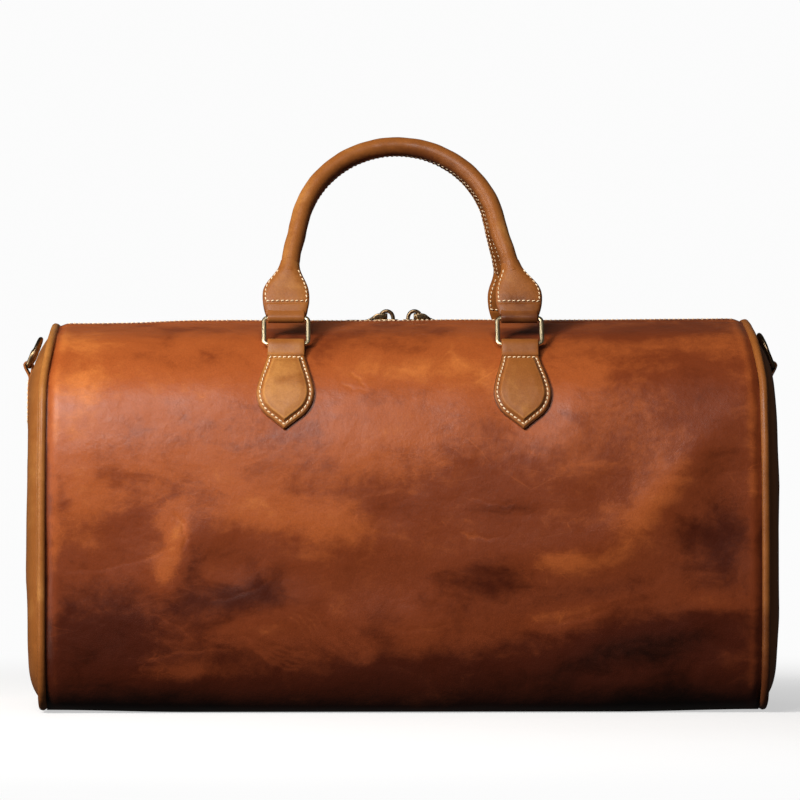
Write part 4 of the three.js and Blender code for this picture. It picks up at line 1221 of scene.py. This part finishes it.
def handle(side):
    turn, body = side == "back", side + "_handle"
    shape, thread_rows = Shape(), Shape()
    handle_grip(shape, side)
    for side_sign in (-1, 1):
        handle_foot(shape, side, side_sign)
        foot_stitching(thread_rows, side, side_sign)
    grip_stitching(thread_rows, side)
    made = shape.build("handle_leather_" + side + "_sewn", turn)
    points = np.vstack(shape.points)
    v = (points[:, 2] - LOWER_BAR[2]) / math.cos(HANDLE_LEAN)
    top = smoothstep(v, 0.10, 0.15)
    half = foot_at(np.clip(v, 0.024, 0.066), 2)
    straight = points[:, 0] - skewed(side, 0.0, v)
    off = np.abs(np.abs(straight) - RING_X + 0.001)
    edge = smoothstep(off / half, 0.88, 1.0) * smoothstep(v, 0.024, 0.028) * (1 - smoothstep(v, 0.050, 0.060))
    tone = 0.05 * smoothstep(v, 0.03, 0.045) * (1 - top) - 0.03 * top - 0.14 * edge - 0.05
    tone = tone - 0.05 * (1 - smoothstep(v, 0.022, 0.030))
    # Painted shade: the foot drawn at +X, the front handle's right foot, is darker.
    tone = tone - 0.09 * smoothstep(straight, -0.01, 0.06) * (1 - smoothstep(v, 0.05, 0.10))
    # Painted light and shade round the rolled grip: lighter on its outer, forward side and darker on its inner side.
    around = np.tile(round_angles(GRIP_SIDES), len(GRIP_LINE))
    tone[:len(around)] += 0.10 * np.cos(around - 0.5) - 0.06
    paint(made, tone=tone, scuff=0.3 * edge)
    finish_piece(made, TRIM, body, ("handle_leather_" + side,))
    finish_piece(thread_rows.build("handle_stitching_" + side, turn), THREAD, body)
    line = GRIP_LINE[8:-8]
    core = Shape()
    core.loft(grip_rows(side, line, [CORE_R] * len(line), round_angles(12)))
    felt = core.build("handle_felt_" + side, turn)
    finish_piece(felt, FELT, body, ("handle_core_" + side,))


for side in SEEDS:
    handle(side)
    for x in (-RING_X, RING_X):
        handle_ring(side, node_side(side, x), x)

# ---------- zip ----------

ZIP_Z = float(surface(0.0, LENGTH, -TAPE_DEPTH - TAPE / 2)[2])
TOOTH_PITCH = 0.0030
TOOTH_REACH = 0.0006  # a closed tooth reaches this far past the middle
# A tooth from the tape to its head: y, half length, half height.
TOOTH = [
    (-0.0033, 0.00045, 0.0012), (-0.0031, 0.0006, 0.0017), (-0.0018, 0.0006, 0.0018),
    (-0.0010, 0.00062, 0.0017), (-0.0002, 0.00066, 0.0015), (TOOTH_REACH, 0.00045, 0.0010),
]
TEETH_HALF = 0.2205
TAPE_HALF = 0.238
SPREAD_HALF = 0.0095  # between the two sliders the rows stand apart


def zip_tape(side):
    """The woven strip under the leather edge, with the thick bead that the teeth grip."""
    turn = side == "back"
    xs = np.linspace(-TAPE_HALF, TAPE_HALF, 240)
    under = [surface(0.0, LENGTH - d, -TAPE_DEPTH - 0.0001) for d in (0.0116, 0.008, 0.004, 0.0005)]
    lower = [(p[1], p[2] - TAPE) for p in under] + [(-0.0052, ZIP_Z - TAPE / 2)]
    upper = [(p[1], p[2]) for p in under] + [(-0.0052, ZIP_Z + TAPE / 2)]
    around = np.radians(np.linspace(140, -140, 9))
    bead = [(-0.0034 + 0.0009 * math.cos(a), ZIP_Z + 0.0009 * math.sin(a)) for a in around]
    ring = np.array(upper + bead + lower[::-1])
    sections = []
    for x in xs:
        away = 0.0010 * (1 - float(smoothstep(abs(x), SPREAD_HALF - 0.004, SPREAD_HALF)))
        nearness = smoothstep(ring[:, 0], -0.0075, -0.0045)
        sections.append(np.stack([np.full(len(ring), x), ring[:, 0] - away * nearness, ring[:, 1]], 1))
    shape = Shape()
    shape.loft(sections)
    made = shape.build("zip_tape_woven_" + side, turn)
    follow_mouth(made, mouth_weight(np.vstack(shape.points)[:, 0]))
    finish_piece(made, TAPE_CLOTH, replaced=("zip_tape_" + side,))


def zip_teeth(side, offset):
    """A row of metal teeth, each with a rounded head."""
    turn = side == "back"
    shape = Shape()
    count = int(2 * TEETH_HALF / TOOTH_PITCH)
    for k in range(count):
        x = -TEETH_HALF + (k + 0.25 + offset) * TOOTH_PITCH
        away = 0.0016 * (1 - float(smoothstep(abs(x), SPREAD_HALF - 0.003, SPREAD_HALF)))
        sections = []
        for y, long, high in TOOTH:
            wide, tall = super_ring(long, high, 3.2, 10)
            sections.append(np.stack([x + wide, np.full(10, y - away), ZIP_Z + tall], 1))
        shape.loft(sections)
    made = shape.build("zip_teeth_row_" + side, turn)
    follow_mouth(made, mouth_weight(np.vstack(shape.points)[:, 0]))
    finish_piece(made, TEETH, replaced=("zip_teeth_" + side,))


def bevelled_box(shape, x, y, z, edge=0.0003):
    """A block between limits, with its edges taken off."""
    (x0, x1), (y0, y1), (z0, z1) = x, y, z
    rows = []
    for at, inset in ((x0, edge), (x0 + edge, 0), (x1 - edge, 0), (x1, edge)):
        corners = []
        for cy, cz, sy, sz in ((y1, z1, -1, -1), (y0, z1, 1, -1), (y0, z0, 1, 1), (y1, z0, -1, 1)):
            a = (at, cy + sy * (edge + inset), cz + sz * inset)
            b = (at, cy + sy * inset, cz + sz * (edge + inset))
            corners += [a, b] if sy * sz > 0 else [b, a]
        rows.append(corners)
    shape.loft(np.array(rows))


def outline_plate(shape, outline, low, high, edge=0.00035):
    """A plate of a flat outline with rounded rims, from low to high."""
    away = unit(outline - outline.mean(0))
    some = edge * 0.3
    steps = [(edge, low), (some, low + some), (0, low + edge), (0, high - edge), (some, high - some), (edge, high)]
    shape.loft([np.column_stack([outline - away * inset, np.full(len(outline), z)]) for inset, z in steps])


SLIDER_START = 0.0015
SLIDER_LENGTH = 0.017
SLIDER_HALF = 0.0062
PLATE = 0.0015
PLATE_TOP = ZIP_Z + 0.0019 + GAP + PLATE
PULL_X = SLIDER_START + 0.0085
PULL_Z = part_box("zip_pull_right")[0].z + 0.0009
BRIDGE_TOP = PULL_Z + 0.0062


def bridge(shape, arch):
    """The flat bar over a slider, which the pull hangs from, along a path in the X-Z plane."""
    across = np.array([0.0, 1.0, 0.0])
    wide, deep = super_ring(0.0022, 0.0014, 2.6, 12)
    up = np.cross(ahead_of(np.array(arch)), across)
    shape.loft([point + wide[:, None] * across + deep[:, None] * normal for point, normal in zip(arch, up)])


def slider(end):
    turn = end == "left"
    shape = Shape()
    wide, narrow = SLIDER_HALF, 0.0046
    half_turn = np.linspace(0, math.pi, 15)
    nose = [(SLIDER_START + 0.0028 - 0.0028 * math.sin(a), wide * math.cos(a)) for a in half_turn]
    tail = [(SLIDER_START + SLIDER_LENGTH - 0.002, -narrow), (SLIDER_START + SLIDER_LENGTH, -narrow + 0.0018)]
    outline = spaced(nose + tail + [(x, -y) for x, y in tail[::-1]], 64, closed=True)
    low = ZIP_Z - 0.0019 - GAP
    outline_plate(shape, outline, PLATE_TOP - PLATE, PLATE_TOP)
    outline_plate(shape, outline, low - PLATE, low)
    post = (SLIDER_START + 0.0008, SLIDER_START + 0.0055)
    bevelled_box(shape, post, (-0.0013, 0.0013), (low - 0.0004, PLATE_TOP - 0.0004))
    rail = (SLIDER_START + 0.006, SLIDER_START + SLIDER_LENGTH - 0.002)
    for across in ((-0.0049, -0.0042), (0.0042, 0.0049)):
        bevelled_box(shape, rail, across, (ZIP_Z + 0.0010, PLATE_TOP - 0.0012))
    arch = []
    for angle in np.radians(np.linspace(-6, 186, 25)):
        x = PULL_X + 0.0047 * math.cos(angle)
        z = PLATE_TOP - 0.0004 + (BRIDGE_TOP - 0.0011 - PLATE_TOP) * max(math.sin(angle), 0) ** 0.8
        arch.append((x, 0.0, z))
    bridge(shape, arch)
    made = shape.build("slider_" + end, turn)
    finish_piece(made, BRONZE, end + "_slider", ("zip_slider_" + end,))


def pull(end):
    """The tongue on the slider's bridge: a thick eye, a waist and a rounded end with a hole. It droops outwards."""
    shape = Shape()
    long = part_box("zip_pull_right")[1].x - PULL_X - 0.0004
    half = spline([
        (-0.0006, 0.0016), (0.0006, 0.0031), (0.0085, 0.0032), (0.0115, 0.0024), (0.0160, 0.0023),
        (0.0200, 0.0032), (long - 0.0028, 0.0032), (long - 0.0008, 0.0020), (long, 0.0008),
    ], 90)
    thick = lambda x: 0.0021 - 0.0011 * smoothstep(x, 0.0070, 0.0120)
    middle = lambda x: PULL_Z + 0.0010 - 0.0036 * smoothstep(x, 0.0050, 0.0165)
    eye, hole = (0.0016, 0.0088, 0.0019), (long - 0.0078, long - 0.0030, 0.0014)
    for x0, x1, gap in ((-0.0006, eye[0], 0), eye, (eye[1], hole[0], 0), hole, (hole[1], long, 0)):
        stations = np.linspace(max(x0 - 0.0002, -0.0006), min(x1 + 0.0002, long), 16)
        for low, high in (((-1, 1),) if gap == 0 else ((gap, 1), (-1, -gap))):
            rows = []
            for x in stations:
                edge = float(np.interp(x, half[:, 0], half[:, 1]))
                y0, y1 = (-edge if low == -1 else low), (edge if high == 1 else high)
                wide, tall = super_ring((y1 - y0) / 2, float(thick(x)), 3.2, 20)
                rows.append(np.stack([np.full(20, PULL_X + x), (y0 + y1) / 2 + wide, float(middle(x)) + tall], 1))
            shape.loft(rows)
    made = shape.build("pull_" + end, end == "left")
    finish_piece(made, BRONZE, end + "_pull", ("zip_pull_" + end,))


def zip_stop(end):
    """The folded metal clip that closes the end of the teeth."""
    low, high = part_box("zip_stop_right")
    shape = Shape()
    rows = []
    for x in np.linspace(low.x, high.x, 9):
        squeeze = 1 - 0.10 * math.cos((x - low.x) / (high.x - low.x) * 2 * math.pi)
        wide, tall = super_ring(high.y * 0.95 * squeeze, (high.z - low.z) / 2, 3.5, 24)
        rows.append(np.stack([np.full(24, x), wide, (high.z + low.z) / 2 + tall], 1))
    shape.loft(rows)
    made = shape.build("zip_end_stop_" + end, end == "left")
    finish_piece(made, BRONZE, "bag", ("zip_stop_" + end,))


for side, offset in (("front", 0.0), ("back", 0.5)):
    zip_tape(side)
    zip_teeth(side, offset)
for end in ("left", "right"):
    slider(end)
    pull(end)
    zip_stop(end)

# ---------- D-rings ----------

D_BAR_Z = 0.242
D_TAB_LENGTH = 0.044
D_RING_WIDTH = 0.030
D_RING_LEG = 0.008  # straight part of the ring, before its round end
D_RING_LEAN = math.radians(22)
RIM_TOP = HEIGHT - 0.0012 - 0.0025 - GAP  # top of the end panel, inside the piping


def end_point(s, offset, y=0.0):
    """A point over the end panel's middle line, at a distance below the D-ring's bar."""
    at = lambda z: seam_x(z) + LEATHER + GAP + end_lift(abs(z - END_CENTRE_Z) / (RIM_TOP - END_CENTRE_Z))
    z = D_BAR_Z - s
    slope = (at(z + 0.001) - at(z - 0.001)) / 0.002
    long = math.hypot(1, slope)
    return np.array([float(at(z) + offset / long), y, float(z - slope * offset / long)])


D_BAR = end_point(0.0, BAR_STANDOFF)


def d_ring(end):
    half = D_RING_WIDTH / 2
    arc = [(half * math.cos(a), D_RING_LEG + half * math.sin(a)) for a in np.linspace(0, math.pi, 25)]
    foot = [(half - 0.0016, 0), (half - 0.0004, 0.0005), (half, 0.0018)]
    path = [(0.0016 - half, 0)] + foot + arc + [(-a, b) for a, b in foot[:0:-1]]
    lean = lambda a, b, c: np.stack([
        D_BAR[0] - b * math.sin(D_RING_LEAN) + c * math.cos(D_RING_LEAN),
        a + 0 * c,
        D_BAR[2] + b * math.cos(D_RING_LEAN) + c * math.sin(D_RING_LEAN),
    ], -1)
    shape = Shape()
    section = super_ring(0.0017, 0.0017, 2.0, 16)
    shape.loft(bent_bar(spaced(path, 140, closed=True), section, lean), closed=True)
    made = shape.build("d_ring_" + end + "_forged", end == "left")
    finish_piece(made, BRONZE, end + "_d_ring", ("d_ring_" + end,))


COVER_HEIGHT = 0.0017  # middle of the tab's outer ply above the end leather


def d_tab(end):
    turn = end == "left"
    shape = Shape()
    front = []
    for s in np.linspace(D_TAB_LENGTH, 0, 50)[:-1]:
        rise = 1 - float(smoothstep(s, -0.001, 0.0085))
        front.append(end_point(s, COVER_HEIGHT + (BAR_STANDOFF + LOOP_MIDDLE - COVER_HEIGHT) * rise))
    around = [(-LOOP_MIDDLE * math.sin(a), LOOP_MIDDLE * math.cos(a)) for a in np.linspace(0, math.pi, 15)]
    loop = [end_point(s, BAR_STANDOFF + out) for s, out in around]
    back = [end_point(s, 0.0010) for s in np.linspace(0.001, 0.010, 5)]
    line = np.array(front + loop + back)
    drop = D_BAR_Z - line[:, 2]
    widths = STRAP_HALF - 0.0045 * smoothstep(drop, D_TAB_LENGTH - 0.010, D_TAB_LENGTH) ** 2
    sheet_path(shape, line, widths, np.array([0.0, 1.0, 0]), 0.0016)
    made = shape.build("d_ring_strap_" + end, turn)
    points = np.vstack(shape.points)
    edge = smoothstep(np.abs(points[:, 1]), STRAP_HALF - 0.0015, STRAP_HALF)
    paint(made, tone=-0.12 * edge - 0.03, scuff=0.3 * edge)
    finish_piece(made, TRIM, "bag", ("d_ring_tab_" + end,))
    rows = Shape()
    inset = STRAP_HALF - 0.0022
    side = [(s, inset) for s in np.linspace(0.010, D_TAB_LENGTH - 0.0065, 20)]
    foot = [(D_TAB_LENGTH - 0.0045, u) for u in np.linspace(inset - 0.0035, -inset + 0.0035, 12)]
    head = [(0.010, u) for u in np.linspace(-inset, inset, 14)[1:]]
    outline = side + foot + [(s, -u) for s, u in side[::-1]] + head
    line = spaced(outline, 300)
    heights = COVER_HEIGHT + 0.0008, COVER_HEIGHT + 0.0018
    path, above = (np.array([end_point(s, out, y) for s, y in line]) for out in heights)
    stitches(rows, path, above - path)
    finish_piece(rows.build("d_ring_strap_stitching_" + end, turn), THREAD, "bag")


for end in ("left", "right"):
    d_ring(end)
    d_tab(end)

# ---------- studio ----------

CAMERA_AT = (-0.080, -3.618, 0.200)
CAMERA_AIM = (-0.0030, -0.118, 0.2181)
FRAME_WIDTH = 0.5548  # what the view spans at the front of the bag


def placed(name, data, at, aim):
    """A camera or light in the scene, turned towards a point."""
    made = bpy.data.objects.new(name, data)
    bpy.context.collection.objects.link(made)
    made.location = at
    made.rotation_euler = (Vector(aim) - Vector(at)).to_track_quat("-Z", "Y").to_euler()
    return made


def camera():
    data = bpy.data.cameras.new("camera")
    data.sensor_width = 36
    data.lens = data.sensor_width * (Vector(CAMERA_AIM) - Vector(CAMERA_AT)).length / FRAME_WIDTH
    data.clip_end = 60
    bpy.context.scene.camera = placed("camera", data, CAMERA_AT, CAMERA_AIM)


def soft_light(name, at, aim, size, power, colour=(1, 1, 1), shine=True, fill=True):
    data = bpy.data.lights.new(name, "AREA")
    data.shape, data.size, data.size_y = "RECTANGLE", *size
    data.energy, data.color = power, colour
    made = placed(name, data, at, aim)
    made.visible_glossy = shine
    made.visible_diffuse = fill


def floor():
    """A large pale floor that lightens away from the bag, so that no horizon shows."""
    made = new_object("studio_floor", [(-30, -30, 0), (30, -30, 0), (30, 30, 0), (-30, 30, 0)], [(0, 1, 2, 3)])
    look, tree, shader = new_material("pale_floor")
    place = stored(tree, "rest", "Vector")
    mottle = ramp(tree, noise_of(tree, place, 3.0), [(0.3, (0.88, 0.88, 0.88)), (0.7, (0.91, 0.91, 0.91))])
    feed(tree, shader.inputs["Base Color"], mottle)
    shader.inputs["Roughness"].default_value = 0.9
    glow = add_node(tree, "ShaderNodeEmission", {"Strength": 0.97})
    distance = add_node(tree, "ShaderNodeVectorMath", {0: place}, operation="LENGTH").outputs["Value"]
    away = remap(tree, distance, 0.25, 0.9, 0.55, 1.0)
    blend = add_node(tree, "ShaderNodeMixShader", {0: away, 1: shader.outputs[0], 2: glow.outputs[0]})
    feed(tree, tree.nodes["Material Output"].inputs["Surface"], blend.outputs[0])
    made.data.materials.append(look)
    made.visible_diffuse = False
    made.visible_glossy = False


def world():
    """White behind the bag, and little light from all round on it."""
    made = bpy.data.worlds.new("studio")
    made.use_nodes = True
    tree = made.node_tree
    background = tree.nodes["Background"]
    rays = add_node(tree, "ShaderNodeLightPath").outputs
    strength = maths(tree, "MULTIPLY_ADD", rays["Is Camera Ray"], 0.88, 0.09)
    strength = maths(tree, "MULTIPLY_ADD", rays["Is Glossy Ray"], -0.07, strength)
    feed(tree, background.inputs["Strength"], strength)
    background.inputs["Color"].default_value = (1, 1, 1, 1)
    bpy.context.scene.world = made


camera()
floor()
world()
soft_light("key", (-1.25, -1.45, 1.20), (0.0, 0, 0.18), (0.50, 0.70), 56, (1.0, 0.965, 0.92), shine=False)
soft_light("sheen", (-0.60, -1.45, 1.30), (-0.10, 0, 0.18), (0.9, 0.55), 19, (1.0, 0.95, 0.93))
soft_light("side", (-1.7, -0.5, 0.7), (-0.1, 0, 0.2), (0.5, 0.8), 7, (1.0, 0.97, 0.92))
soft_light("glint", (-2.1, -1.7, 0.35), (0, 0, 0.25), (0.7, 1.2), 9, (1.0, 0.96, 0.88), fill=False)
soft_light("behind", (-0.3, 1.9, 1.3), (0, 0, 0.15), (1.2, 0.9), 7, shine=False)
bpy.context.scene.view_settings.view_transform = "Standard"
